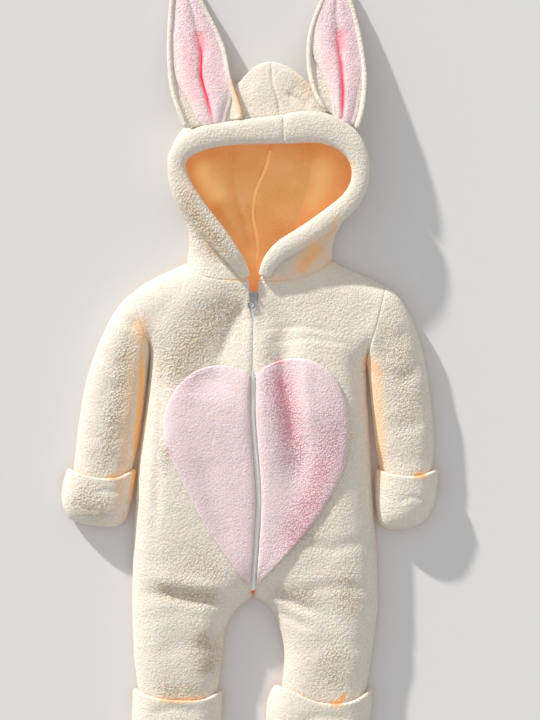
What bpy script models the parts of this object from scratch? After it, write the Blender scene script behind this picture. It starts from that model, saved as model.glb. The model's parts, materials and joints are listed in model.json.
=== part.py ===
"""A baby's hooded fleece suit with rabbit ears, laid flat on its back.

Plan tables are in millimetres: x from the zip line, y towards the hood, z up from the table.
Left and right are those of somebody who looks down on the suit with the hood at the top.
"""

import math

import bmesh
import bpy
import numpy as np
from mathutils import Vector
from mathutils.bvhtree import BVHTree

MM = 0.001
ORIGIN_X = -4.6           # middle of the suit's outline, from the zip line
ORIGIN_Y = -5.2           # middle of the suit's outline, from the zero of the tables

# Cloth
WALL = 4.5                # fleece, backing and pile together
SEAM_GAP = 0.3            # air between neighbouring pieces
LAY_GAP = 0.35            # air under a piece that lies on another
SEAM_HEIGHT = 8.0         # side seams, shoulder seams and inseams above the table
EDGE_LIP = 0.5            # least height of a wall's inside over the seam beside it
UNDER_RADIUS = 9.0        # rounding from the seams down to the flat underside
UP = (0, 0, 1)

# Zip
CROTCH_Y = -290           # where the zip edges and the inseams meet
ZIP_END_Y = -283          # lower end of the tapes
NECK_Y = 105              # front neckline beside the zip
ZIP_OPENING = [  # y, zip line to the edge of each front
    (CROTCH_Y, 0.2), (ZIP_END_Y, 3.4), (68, 3.4), (80, 5.0), (NECK_Y, 6.4),
]
ZIP_ROLL = 6.0            # width over which a front rolls down to the zip
ZIP_DROP = 1.4            # how far that roll goes down
ZIP_EDGE_WALLS = (2.4, 3.2)  # thinner walls of the two columns beside the zip
TAPE_THICK = 1.0
COIL_WIDTH = 3.2
COIL_HEIGHT = 1.7
SLIDER_Y = 89.0
SLIDER_LENGTH = 10.0
SLIDER_WIDTH = 8.0
SLIDER_HEIGHT = 3.0
PULL_LENGTH = 20.0
PULL_THICK = 1.4
PULL_CLEAR = 0.6          # air between the pull and the slider, so that it can turn
PULL_RING = 4.9
PULL_HOLE = 2.6
PULL_STRAP = 2.1          # half width of the strap between the slider and the ring
PULL_WAIST = (2.6, -9.0)  # half width where the strap meets the ring, and how far down
PULL_STRAP_END = -4.0     # how far down the strap starts to widen
PULL_LEAN = math.radians(11.0)

# How high the top of the suit lies and how wide its edges round, from feet to neck
BODY_SECTIONS = [  # y, height, radius
    (-430, 29, 30),
    (-380, 34, 36),
    (-320, 36, 40),
    (-280, 37, 44),
    (-200, 41, 46),
    (-60, 43, 46),
    (20, 38, 38),
    (60, 34, 30),
    (106, 33, 34),
    (130, 31, 34),
]

SIDE_SEAM = {  # x, y from the hem to the underarm
    "left": [
        (-142.5, -428), (-143.1, -406), (-147.5, -387), (-150, -356), (-151.9, -294),
        (-150.6, -244), (-148.8, -194), (-145.6, -150), (-141.9, -106), (-136.2, -69),
        (-131.2, -31), (-128.8, 1.2), (-128.8, 18.8),
    ],
    "right": [
        (141.2, -428), (141.9, -404), (146.2, -384), (149.4, -356), (152.5, -334),
        (156.9, -306), (156.2, -256), (153.8, -219), (150.6, -181), (148.8, -144),
        (146.9, -106), (145, -69), (142.5, -37), (141.2, -12), (142.5, 5),
    ],
}
INSEAM = {  # x, y from the hem to the crotch
    "left": [
        (-46.2, -428), (-45.6, -406), (-41.2, -387), (-38.8, -362), (-36.2, -334),
        (-27.5, -312), (-16.2, -300), (-7, -294), (-0.2, -290),
    ],
    "right": [
        (35, -428), (35, -412), (37.5, -394), (39.4, -375), (40, -355),
        (35, -332), (27.5, -312), (21.2, -302), (12.5, -295), (0.2, -290),
    ],
}
ZIP_PATH = [  # x, y from the crotch to the neck
    (0, -290), (0, -276), (1.9, -256), (3.8, -231), (7.5, -171), (5.9, -139),
    (2.5, -101), (-0.5, -62), (0, -22), (0, 49), (1.2, 92), (1.2, 106),
]
SHOULDER_TIP = {"left": (-150, 92.5), "right": (166.2, 99.4)}
NECK_POINT = {"left": (-84, 127.5), "right": (100, 131.2)}
NECKLINE = {  # x, y from a little beside the zip to the neck point
    "left": [(-25, 105), (-48, 105), (-67, 111), (-84, 127.5)],
    "right": [(32, 104), (56, 106.5), (79, 114), (100, 131.2)],
}
SHOULDER = {  # x, y from the neck point to the shoulder tip
    "left": [(-84, 127.5), (-89, 123.5), (-114, 115), (-136, 102.5), (-150, 92.5)],
    "right": [(100, 131.2), (105, 126), (122, 119), (146, 109.5), (166.2, 99.4)],
}
BACK_NECK = (3.0, 126.0)  # middle of the back neckline

TRUNK_ROWS = [  # y of the rows that run straight across, from the hem to under the arm
    -428, -413, -395, -374, -353, -334, -318, -305, -296, CROTCH_Y, ZIP_END_Y, -270, -250,
    -226, -200, -172, -144, -116, -88, -60, -32, -8,
]
YOKE_ROWS = [  # y at the zip, part of the armhole, part of the bend into the neckline
    (19, 0.0, 0.0), (42, 0.23, 0.12), (62, 0.45, 0.32), (79, 0.65, 0.56),
    (91, 0.82, 0.78), (99, 0.93, 0.93), (NECK_Y, 1.0, 1.0),
]
FRONT_COLUMNS = [0, 0.022, 0.08, 0.19, 0.32, 0.45, 0.58, 0.71, 0.83, 0.92, 0.975, 1]
FRONT_NECK_PARTS = [0, 0.05, 0.2, 0.42, 0.64, 0.84, 1]  # columns that end on the neckline
BACK_COLUMNS = [0, 0.03, 0.09, 0.25, 0.5, 0.72, 0.86, 0.94, 0.98, 1]
BACK_NECK_PARTS = [0, 0.2, 0.5, 0.76, 0.91, 1]
FRONT_NECK_COLUMNS = len(FRONT_NECK_PARTS)
BACK_NECK_COLUMNS = len(BACK_NECK_PARTS)

# Soft troughs (depth above 0) and ridges (below 0) pressed into the fronts
FRONT_FOLDS = [  # x0, y0, x1, y1, half width, depth
    (-22, 66, -46, 2, 9, 2.6),
    (-34, 70, -60, 10, 9, -1.6),
    (42, 2, 50, -86, 8, 3.2),
    (58, 0, 66, -80, 9, -2.0),
    (-128, -283, -24, -300, 9, 3.6),
    (-118, -263, -30, -280, 9, -2.0),
    (14, -274, 84, -306, 9, 3.8),
    (24, -254, 112, -280, 10, -2.2),
    (76, -318, 140, -330, 9, 2.0),
    (-96, -340, -44, -352, 9, 2.2),
    (-122, 70, -96, 30, 9, 1.8),
    (150, 74, 118, 34, 9, 1.8),
]

# Sleeves: rings from the armhole to the hem inside the mitt
SLEEVE_SECTIONS = {  # inner x, y, outer x, y, height, radius
    "left": [
        (-130.5, 6, -166, 78, 33.5, 30),
        (-132.5, -10, -178, 60, 33, 30),
        (-134.5, -28, -187, 42, 32.5, 30),
        (-136.5, -45, -196, 22, 32.5, 30),
        (-138.5, -60, -204, 0, 31.5, 30),
        (-140.5, -76, -210.5, -24, 32, 30),
        (-143, -92, -215.5, -50, 31, 30),
        (-146, -107, -219, -76, 31, 29),
        (-149.5, -122, -222, -102, 30, 28),
        (-153.5, -137, -225, -127, 29, 27),
        (-156, -148, -226, -144, 28, 26),
        (-156.5, -158.5, -226, -158.5, 28, 26),
    ],
    "right": [
        (144.8, -8, 181.5, 89, 33.5, 30),
        (146, -22, 191.5, 74, 33, 30),
        (147.5, -38, 200.5, 56, 32.5, 30),
        (149, -54, 208, 36, 32.5, 30),
        (150.5, -70, 214.5, 12, 31.5, 30),
        (152, -85, 219, -15, 32, 30),
        (153.5, -99, 223, -44, 31, 30),
        (155.5, -112, 226.5, -72, 31, 29),
        (158.5, -125, 227.5, -100, 30, 28),
        (160.6, -138, 225.5, -126, 29, 27),
        (161.2, -148, 223, -144, 28, 26),
        (161.2, -158.5, 222.5, -158.5, 28, 26),
    ],
}
SLEEVE_TOP = [0, 0.03, 0.1, 0.23, 0.4, 0.6, 0.77, 0.9, 0.97, 1]
SLEEVE_UNDER = [0.96, 0.87, 0.5, 0.13, 0.04]
SLEEVE_FOLDS = [  # x0, y0, x1, y1, half width, depth
    (-205, -8, -168, -30, 8, 2.4),
    (-214, -52, -178, -62, 8, 2.0),
    (-150, 20, -172, 44, 8, 1.8),
    (208, 4, 176, -28, 8, 2.4),
    (222, -60, 190, -72, 8, 2.0),
    (166, 20, 190, 46, 8, 1.8),
]

# Fold-over mitts and feet: an arched pouch whose rim lies on the sleeve or leg
MITT = {
    "left": {
        "rim": [(-232.5, -130), (-215, -136.7), (-200, -141.2), (-182.5, -143),
                (-166.2, -143), (-146.2, -131.2)],
        "first": [(-232.5, -130), (-238, -144), (-241.2, -162.5), (-239, -179),
                  (-231.2, -192.5)],
        "tip": [(-231.2, -192.5), (-216, -199.4), (-197.5, -201.5), (-179, -204),
                (-166, -202), (-158.8, -191.2)],
        "last": [(-146.2, -131.2), (-149, -146), (-150.5, -158), (-153.8, -175),
                 (-158.8, -191.2)],
    },
    "right": {
        "rim": [(154.4, -131), (168.8, -136.2), (185, -138.8), (200, -141.2),
                (212.5, -138.8), (232, -131)],
        "first": [(154.4, -131), (153.5, -146), (153.3, -158), (154, -177.5),
                  (157.5, -195)],
        "tip": [(157.5, -195), (163.8, -205), (176.2, -207.5), (193.8, -205.6),
                (208.8, -201.2), (218.8, -191.2)],
        "last": [(232, -131), (231.8, -146), (230, -162.5), (225, -178.8),
                 (218.8, -191.2)],
    },
}
FOOT = {
    "left": {
        "rim": [(-150.5, -406), (-135, -411.2), (-121, -416), (-91, -418.8),
                (-60, -419), (-38.6, -408.8)],
        "first": [(-150.5, -406), (-151.5, -421), (-152.5, -450), (-150, -475),
                  (-141, -492.5)],
        "tip": [(-141, -492.5), (-122.5, -501), (-94, -504), (-66, -501),
                (-51, -493.8)],
        "last": [(-38.6, -408.8), (-39, -425), (-40, -450), (-42.5, -476),
                 (-51, -493.8)],
    },
    "right": {
        "rim": [(27, -401), (44, -403), (57, -411), (77, -422), (101, -425.6),
                (130, -420), (149.5, -406)],
        "first": [(27, -401), (19, -413), (15.6, -431), (15.6, -455), (19, -477),
                  (28.8, -493.8)],
        "tip": [(28.8, -493.8), (50, -502.5), (84, -505), (115, -501.2),
                (135, -492.5)],
        "last": [(149.5, -406), (149.5, -421), (147.5, -437), (146, -455),
                 (143.8, -475), (135, -492.5)],
    },
}
POUCH_COLUMNS = [0, 0.04, 0.13, 0.28, 0.5, 0.72, 0.87, 0.96, 1]
POUCH_ROWS = [0, 0.12, 0.27, 0.45, 0.64, 0.8, 0.91, 0.97, 1]
MITT_HEIGHT, MITT_RADIUS = 34.0, 28.0
FOOT_HEIGHT, FOOT_RADIUS = 37.0, 34.0
MITT_HEM_Y = -158.5
FOOT_HEM_Y = -428.0
POUCH_GAPE = 3.0          # how far the rim stands open over the orange slit
GAPES = {  # x of the middle of the slit, half width
    ("mitt", "left"): (-172, 12), ("mitt", "right"): (207, 12),
    ("foot", "left"): (-88, 26), ("foot", "right"): (112, 14),
}

# Hood: sections from the neck seam up to the centre seam over the crown.
HOOD_SECTIONS = {  # rim x, y, z, side x, y, z, y on the centre-back seam
    "left": [
        (-9, 119, 34, -80.5, 140, 14, 138),
        (-17, 129, 35, -78, 152, 17, 151),
        (-33, 148, 36, -79.5, 169, 20, 167),
        (-52, 171, 37, -87, 187, 22, 186),
        (-67, 190, 38, -95.5, 202, 23, 205),
        (-83, 215, 38, -104, 222, 24, 226),
        (-92, 245, 38, -107.5, 250, 25, 247),
        (-80, 271, 38, -98, 283, 26, 266),
        (-62, 283, 38, -79, 303, 27, 279),
        (-32, 288, 38, -50, 321, 27, 291),
        (2, 290, 39, -20, 347, 29, 302),
        (24, 291, 39, 1, 374, 30, 311),
    ],
    "right": [
        (16, 119, 34, 99, 144, 14, 138),
        (24, 130, 35, 100.5, 158, 17, 151),
        (38, 145, 36, 108, 174, 20, 167),
        (60, 158, 37, 117, 187, 22, 186),
        (83, 174, 38, 131, 202, 23, 205),
        (106, 191, 38, 140.5, 220, 24, 226),
        (128, 218, 38, 144, 249, 25, 247),
        (130, 250, 38, 138, 276, 26, 266),
        (115, 282, 38, 123, 302, 27, 279),
        (86, 294, 38, 96, 322, 27, 291),
        (60, 295, 39, 74, 347, 29, 302),
        (45, 293, 39, 47, 373, 30, 311),
    ],
}
CROWN_SECTION = (34, 292, 39, 22, 378, 30)  # the centre seam: rim x, y, z, crown x, y, z
CROWN_SEAM_END = (30.2, 319.5)              # where it meets the centre-back seam
BACK_SEAM = [  # x, y of the centre-back seam of the hood
    (3, 126), (5, 150), (2, 182), (0, 205), (6, 228), (15, 248), (21, 270), (30.2, 319.5),
]
HOOD_TURNS = [90, 66, 45, 30, 17, 7, 0]     # degrees from the rim down to the side
HOOD_UNDER_TURNS = [32, 62, 90]             # degrees from the side down to the table
HOOD_UNDER_SHARE = 0.45   # most of the underside that its rounding may take up

HOOD_RIM = {  # x, y, width, z of the underside
    "left": [
        (-9.5, 110, 11, 34.4), (-13.5, 119, 15, 35), (-19.4, 128.5, 19, 36),
        (-27, 138, 22, 36.5), (-35, 148.5, 24, 37), (-44.5, 160, 26, 37.6),
        (-54, 171, 27, 38), (-69.4, 190.5, 27, 38.5), (-83, 212, 26, 39),
        (-92.5, 233, 23, 39), (-96, 250, 22, 39), (-91, 264, 26, 39),
        (-80, 274, 29, 39), (-62.5, 281.5, 29, 39), (-45, 285.5, 29, 39),
        (-22, 288, 29, 39.4), (0, 289.5, 31, 39.8), (19, 291, 34, 40), (36.8, 291.8, 36, 40),
    ],
    "right": [
        (13.8, 111, 13, 34.4), (17.5, 120.5, 16, 35), (23, 130, 20, 36),
        (30, 138, 22, 36.5), (39, 145, 24, 37), (50, 151.5, 25, 37.6),
        (62.5, 158.5, 25, 38), (85.6, 174.4, 25, 38.5), (108, 191, 25, 39),
        (121, 203, 24, 39), (131, 219, 22, 39), (134.5, 238, 21, 39),
        (132, 256, 25, 39), (125, 271, 30, 39), (113, 283, 34, 39),
        (97, 291.5, 37, 39), (79, 295.5, 39, 39.4), (59, 295.5, 40, 39.8), (38.4, 292, 37, 40),
    ],
}
RIM_HEIGHT = 15.0
RIM_FULL_WIDTH = 22.0     # a narrower rim is lower too
RIM_POINTS = 10
RIM_SQUARENESS = 0.8      # 1 would make its section an ellipse

# Ears: sections from the base to the tip
EAR_SECTIONS = {  # y left, y right, left x, right x, lining's left and right, crease x, bottom z
    "left": [
        (294, 306, -85, -13, -60, -38, -49, 40),
        (303, 312, -89, -14, -65, -37, -51, 39),
        (315, 321, -94, -16, -70, -34, -53, 37),
        (331, 334, -100, -20, -78, -30, -57, 33),
        (349, 350, -104, -26, -88, -31, -62, 28),
        (368, 368, -106, -30, -95, -36, -65, 23),
        (394, 394, -107.5, -33, -99, -39, -64, 16),
        (424, 424, -106.5, -47, -99, -53, -69, 10),
        (454, 454, -104.5, -62, -97, -68, -78, 5),
        (478, 478, -102, -75, -95, -82, -87, 2),
        (494, 494, -98, -83, None, None, None, 0.5),
    ],
    "right": [
        (319, 293, 86, 131, 103, 121, 112, 40),
        (324, 304, 82, 135, 103, 124, 112, 39),
        (330, 317, 78, 138, 102, 127, 112, 37),
        (340, 333, 74, 140.5, 100, 130, 112, 33),
        (353, 350, 70.5, 141.5, 95, 133, 112, 28),
        (369, 368, 67.5, 141.5, 88, 135, 111, 23),
        (394, 394, 66.3, 138, 76, 132, 109, 16),
        (424, 424, 70.5, 133, 76, 127, 106, 10),
        (454, 454, 83, 125, 89, 119, 104, 5),
        (478, 478, 93.5, 117, 99, 112, 105, 2),
        (494, 494, 100, 111, None, None, None, 0.5),
    ],
}
EAR_WALL = 4.0
EAR_CURL = 12.0           # how far the sides of an ear turn up
EAR_CURL_SHARE = 0.4      # and at most this part of its width
EAR_COLUMNS = [0, 0.04, 0.14, 0.32, 0.5, 0.68, 0.86, 0.96, 1]
LINING_COLUMNS = [0, 0.12, 0.32, 0.46, 0.5, 0.54, 0.68, 0.88, 1]
LINING_PUFF = [0, 0.65, 1, 0.55, 0, 0.55, 1, 0.65, 0]
LINING_WALL = 3.0
LINING_SETBACK = 2.0      # the lining starts this far from the ear's own edge at the hood
LINING_INSET = 1.0        # and this far inside the ear's wall at its sides
LINING_RISE = 6.5         # how far the lining puffs up on each side of the crease
LINING_RISE_SHARE = 0.16  # and at most this part of its width
LINING_LEAN = 0.4         # its walls lean less to the sides than its surface does

# Heart
HEART_OUTLINE = {  # x, y from the top of the zip edge round to the point
    "left": [
        (-7, -10.5), (-18, -2.9), (-34, 0.9), (-50, 1.9), (-65.9, -2.9), (-81.8, -12.5),
        (-94.6, -25), (-105.8, -43.8), (-112.1, -66.2), (-113.8, -86.2), (-107.5, -104.4),
        (-88.8, -142.5), (-62.5, -193.8), (-33.8, -238.3), (-11.6, -267), (-4.2, -274),
    ],
    "right": [
        (6, -9), (10.6, -1.2), (26.6, 6), (45.8, 9.1), (61.6, 10), (77.5, 6.6),
        (93.8, -2.9), (106.2, -18.8), (114.2, -38), (119.1, -60.4), (121.2, -83.8),
        (118.8, -107.5), (112.5, -133), (100, -158.8), (71.2, -203.3), (36.2, -241.2),
        (10.6, -267), (6, -272),
    ],
}
HEART_ROWS = [  # part of the zip edge and of the outline
    (0, 0), (0.035, 0.075), (0.075, 0.15), (0.125, 0.225), (0.185, 0.3), (0.25, 0.37),
    (0.32, 0.44), (0.4, 0.515), (0.49, 0.59), (0.58, 0.665), (0.68, 0.745), (0.78, 0.83),
    (0.88, 0.91), (0.96, 0.97), (1, 1),
]
HEART_COLUMNS = [0, 0.03, 0.16, 0.34, 0.52, 0.7, 0.86, 0.97, 1]
HEART_THICK = 3.4
HEART_EDGE_THICK = 1.8
HEART_GAP = 0.6           # air under the heart, which bridges the small facets of the fronts
HEART_INSET = 0.6         # from the edge of a front to the heart
HEART_TOP_Y = -12.5
HEART_POINT_Y = -274.0

COLOURS = {  # red, green, blue, roughness, metallic
    "cream": (0.90, 0.83, 0.70, 0.95, 0.0),
    "pink": (0.87, 0.64, 0.71, 0.95, 0.0),
    "tape": (0.70, 0.70, 0.69, 0.80, 0.0),
    "coil": (0.52, 0.54, 0.55, 0.45, 0.0),
    "nickel": (0.75, 0.75, 0.76, 0.20, 1.0),
}


# ---------------------------------------------------------------- small mathematics

def resample(path, parts):
    """Points at the given parts (0 to 1) of a path's length."""
    path = np.array(path, float)
    steps = np.linalg.norm(np.diff(path, axis=0), axis=1)
    length = np.concatenate([[0], np.cumsum(steps)])
    wanted = np.array(parts) * length[-1]
    return np.stack([np.interp(wanted, length, path[:, k]) for k in range(path.shape[1])], -1)


def x_at(path, y):
    """The x of an upward path at the given y."""
    path = np.array(path, float)
    return np.interp(y, path[:, 1], path[:, 0])


def distance_to(points, path):
    """Distance in plan from each point to the nearest place on a path."""
    path = np.array(path, float)[:, :2]
    best = np.full(points.shape[:-1], np.inf)
    for a, b in zip(path[:-1], path[1:]):
        along = b - a
        part = np.clip(((points[..., :2] - a) @ along) / (along @ along), 0, 1)
        gap = np.linalg.norm(points[..., :2] - (a + part[..., None] * along), axis=-1)
        best = np.minimum(best, gap)
    return best


def rounded(distance, radius):
    """0 on a soft edge, rising as a quarter round to 1 at the given radius."""
    reach = np.clip(distance / radius, 0, 1)
    return np.sqrt(np.maximum(0, 1 - (1 - reach) ** 2))


def fold_depth(points, folds):
    """How far the soft troughs and ridges press the cloth down at each point."""
    depth = np.zeros(points.shape[:-1])
    for x0, y0, x1, y1, half_width, deep in folds:
        gap = distance_to(points, [(x0, y0), (x1, y1)])
        depth += deep * np.exp(-((gap / half_width) ** 2))
    return depth


def with_height(plan, z):
    """Plan points joined with their heights."""
    return np.concatenate([plan, np.asarray(z)[..., None]], -1)


def grid_normals(grid, wrap):
    """Unit normals of a grid of points, pointing away from its middle line or upwards."""
    if wrap:
        across = np.roll(grid, -1, 1) - np.roll(grid, 1, 1)
    else:
        across = np.gradient(grid, axis=1)
    along = np.gradient(grid, axis=0)
    normal = np.cross(across, along)
    return normal / np.maximum(np.linalg.norm(normal, axis=-1, keepdims=True), 1e-9)


def turned(normal, upward):
    """Normals turned so that most of them point up (1) or down (-1)."""
    return normal * upward * np.sign(normal[..., 2].sum())


def flatten_normals(normal, mask, axes):
    """Takes the part along an axis out of the masked normals, so that seams face each other."""
    axes = np.broadcast_to(np.asarray(axes, float), normal.shape)
    inside = normal - (normal * axes).sum(-1, keepdims=True) * axes
    size = np.linalg.norm(inside, axis=-1, keepdims=True)
    usable = mask[..., None] & (size > 0.05)
    return np.where(usable, inside / np.maximum(size, 1e-9), normal)


def keep_above(grid, level):
    """Keeps the middle points of a grid a little above the seam round it."""
    grid[1:-1, 1:-1, 2] = np.maximum(grid[1:-1, 1:-1, 2], level + EDGE_LIP)
    return grid


def keep_below(grid, level):
    """Keeps the middle points of a grid a little below the seam round it."""
    grid[1:-1, 1:-1, 2] = np.minimum(grid[1:-1, 1:-1, 2], level - EDGE_LIP)
    return grid


def sideways(path):
    """Level unit vectors square to a path, one for each of its points."""
    step = np.gradient(np.asarray(path, float)[:, :2], axis=0)
    step /= np.maximum(np.linalg.norm(step, axis=1, keepdims=True), 1e-9)
    return np.stack([step[:, 1], -step[:, 0], np.zeros(len(step))], -1)


# ---------------------------------------------------------------- meshes and materials

def material(name, colour):
    """A plain material of its own for each piece."""
    red, green, blue, rough, metal = COLOURS[colour]
    made = bpy.data.materials.new(name + "_" + colour)
    made.use_nodes = True
    shader = made.node_tree.nodes["Principled BSDF"]
    shader.inputs["Base Color"].default_value = (red, green, blue, 1)
    shader.inputs["Roughness"].default_value = rough
    shader.inputs["Metallic"].default_value = metal
    made.diffuse_color = (red, green, blue, 1)
    return made


def place(points):
    """Points of the tables moved to the shared origin, in metres."""
    points = np.asarray(points, float)
    return (points - np.array([ORIGIN_X, ORIGIN_Y, 0])) * MM


def add_object(name, mesh, colour, pivot=(0, 0, 0)):
    """Turns a bmesh into the one object of a piece, with its origin on the pivot."""
    bmesh.ops.recalc_face_normals(mesh, faces=mesh.faces)
    if pivot != (0, 0, 0):
        bmesh.ops.translate(mesh, vec=-Vector(pivot), verts=mesh.verts)
    data = bpy.data.meshes.new(name)
    mesh.to_mesh(data)
    mesh.free()
    data.materials.append(material(name, colour))
    made = bpy.data.objects.new(name, data)
    made.location = pivot
    bpy.context.scene.collection.objects.link(made)
    return made


def join_grids(outer, inner, wrap):
    """A closed wall between two grids of points: both faces and the rims."""
    mesh = bmesh.new()
    rows, columns = outer.shape[:2]
    layers = []
    for grid in (outer, inner):
        layers.append([[mesh.verts.new(p) for p in row] for row in place(grid)])
    across = columns if wrap else columns - 1
    for front, layer in enumerate(layers):
        for i in range(rows - 1):
            for j in range(across):
                k = (j + 1) % columns
                quad = [layer[i][j], layer[i][k], layer[i + 1][k], layer[i + 1][j]]
                mesh.faces.new(quad if front else quad[::-1])
    top, under = layers
    for i in (0, rows - 1):
        for j in range(across):
            k = (j + 1) % columns
            mesh.faces.new([top[i][j], top[i][k], under[i][k], under[i][j]])
    if not wrap:
        for j in (0, columns - 1):
            for i in range(rows - 1):
                mesh.faces.new([top[i][j], top[i + 1][j], under[i + 1][j], under[i][j]])
    return mesh


def join_rings(rings):
    """A closed solid through rings of points, capped at both ends."""
    mesh = bmesh.new()
    loops = [[mesh.verts.new(p) for p in ring] for ring in place(rings)]
    count = len(loops[0])
    for low, high in zip(loops[:-1], loops[1:]):
        for j in range(count):
            k = (j + 1) % count
            mesh.faces.new([low[j], low[k], high[k], high[j]])
    mesh.faces.new(loops[0][::-1])
    mesh.faces.new(loops[-1])
    return mesh


def add_cloth(name, outer, inner, colour, wrap=False):
    """A piece of cloth between its outer and inner points."""
    return add_object(name, join_grids(outer, inner, wrap), colour)


def surface_of(*objects):
    """A search tree over the faces of pieces that another one lies on."""
    joined = bmesh.new()
    for piece in objects:
        joined.from_mesh(piece.data)
    bmesh.ops.triangulate(joined, faces=joined.faces)
    tree = BVHTree.FromBMesh(joined)
    joined.free()
    return tree


def height_on(tree, points):
    """Height in millimetres of the surface under each point, or -1e3 beside it."""
    flat = place(points).reshape(-1, 3)
    found = []
    for x, y, _ in flat:
        hit = tree.ray_cast(Vector((x, y, 1)), Vector((0, 0, -1)))[0]
        found.append(hit.z / MM if hit else -1e3)
    return np.array(found).reshape(points.shape[:-1])


def lift_clear(grid, tree, gap):
    """How far each point of a grid has to rise so that no cell dips into the surface."""
    points = grid.copy()
    for _ in range(5):
        rise = np.maximum(0, height_on(tree, points) + gap - points[..., 2])
        points[..., 2] += rise
        falling = (points[:-1, :-1] + points[1:, 1:]) / 2
        rising = (points[1:, :-1] + points[:-1, 1:]) / 2
        lowest = np.minimum(falling[..., 2], rising[..., 2])
        highest = np.maximum(height_on(tree, falling), height_on(tree, rising))
        lack = np.maximum(0, highest + gap - lowest)
        side = (points[:-1] + points[1:]) / 2
        side_lack = np.maximum(0, height_on(tree, side) + gap - side[..., 2])
        end = (points[:, :-1] + points[:, 1:]) / 2
        end_lack = np.maximum(0, height_on(tree, end) + gap - end[..., 2])
        raised = np.zeros(points.shape[:-1])
        for i, j in ((0, 0), (1, 0), (0, 1), (1, 1)):
            area = raised[i:i + lack.shape[0], j:j + lack.shape[1]]
            np.maximum(area, lack, out=area)
        for i in (0, 1):
            np.maximum(raised[i:i + len(side_lack)], side_lack, out=raised[i:i + len(side_lack)])
            width = end_lack.shape[1]
            np.maximum(raised[:, i:i + width], end_lack, out=raised[:, i:i + width])
        points[..., 2] += raised
    return points[..., 2] - grid[..., 2]


# ---------------------------------------------------------------- body

def body_height(y):
    """Height of the top of the suit along its length."""
    table = np.array(BODY_SECTIONS, float)
    return np.interp(y, table[:, 0], table[:, 1])


def body_radius(y):
    """Width of its rounded edges along its length."""
    table = np.array(BODY_SECTIONS, float)
    return np.interp(y, table[:, 0], table[:, 2])


def zip_half(y):
    """Distance from the zip line to the edge of each front."""
    table = np.array(ZIP_OPENING, float)
    return np.interp(y, table[:, 0], table[:, 1])


def soft_edges(side):
    """Paths of the seams where the suit rounds down to the table."""
    return [INSEAM[side], SIDE_SEAM[side], SHOULDER[side]]


def edge_distance(plan, paths):
    """Distance to the nearest of several paths."""
    return np.minimum.reduce([distance_to(plan, path) for path in paths])


def front_z(plan, side):
    """Height of a front's outer face."""
    rise = rounded(edge_distance(plan, soft_edges(side)), body_radius(plan[..., 1]))
    z = SEAM_HEIGHT + (body_height(plan[..., 1]) - SEAM_HEIGHT) * rise
    return z - fold_depth(plan, FRONT_FOLDS) * rise


def under_z(plan, paths):
    """Height of the underside: flat, and rounded up to the seams at its edges."""
    return SEAM_HEIGHT * (1 - rounded(edge_distance(plan, paths), UNDER_RADIUS))


def armhole(side, parts):
    """Points on the armhole from the underarm to the shoulder tip."""
    return resample([SIDE_SEAM[side][-1], SHOULDER_TIP[side]], parts)


def body_plan(side, inner_x, inner_top_y, top, columns):
    """Plan of a front or back: straight rows that bend into the neckline and shoulder."""
    inner, outer, bends = [], [], []
    for y in TRUNK_ROWS:
        inner.append((inner_x(y), y))
        outer.append((x_at(SIDE_SEAM[side], y), y))
        bends.append(0)
    for zip_y, part, bend in YOKE_ROWS:
        start = YOKE_ROWS[0][0]
        y = start + (zip_y - start) * (inner_top_y - start) / (YOKE_ROWS[-1][0] - start)
        inner.append((inner_x(y), y))
        outer.append(tuple(armhole(side, [part])[0]))
        bends.append(bend)
    inner, outer = np.array(inner), np.array(outer)
    part = np.array(columns)[None, :, None]
    rows = inner[:, None] * (1 - part) + outer[:, None] * part
    bend = np.array(bends)[:, None, None]
    return rows + bend * (top - rows[-1])[None]


def body_normals(outer, first_shoulder_column):
    """Normals of a body piece, with the seams' end faces square to their neighbours."""
    normal = grid_normals(outer, False)
    rows, columns = normal.shape[:2]
    underarm = len(TRUNK_ROWS)
    crotch = TRUNK_ROWS.index(CROTCH_Y)
    level = np.zeros((rows, columns), bool)
    level[:underarm + 1, -1] = True
    level[:crotch + 1, 0] = True
    level[-1, first_shoulder_column:] = True
    normal = flatten_normals(normal, level, UP)
    for column, start in ((0, crotch), (-1, underarm)):
        mask = np.zeros((rows, columns), bool)
        mask[start:, column] = True
        square = sideways(outer[start:, column])
        axes = np.zeros_like(normal)
        axes[start:, column] = square
        normal = flatten_normals(normal, mask, axes)
    for row, stop in ((0, columns), (-1, first_shoulder_column)):
        mask = np.zeros((rows, columns), bool)
        mask[row, :stop] = True
        axes = np.zeros_like(normal)
        axes[row, :stop] = sideways(outer[row, :stop])
        normal = flatten_normals(normal, mask, axes)
    mask = np.zeros((rows, columns), bool)
    mask[-1, first_shoulder_column] = True
    normal = flatten_normals(normal, mask, (0, 1, 0))
    return flatten_normals(normal, level, UP)


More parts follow.
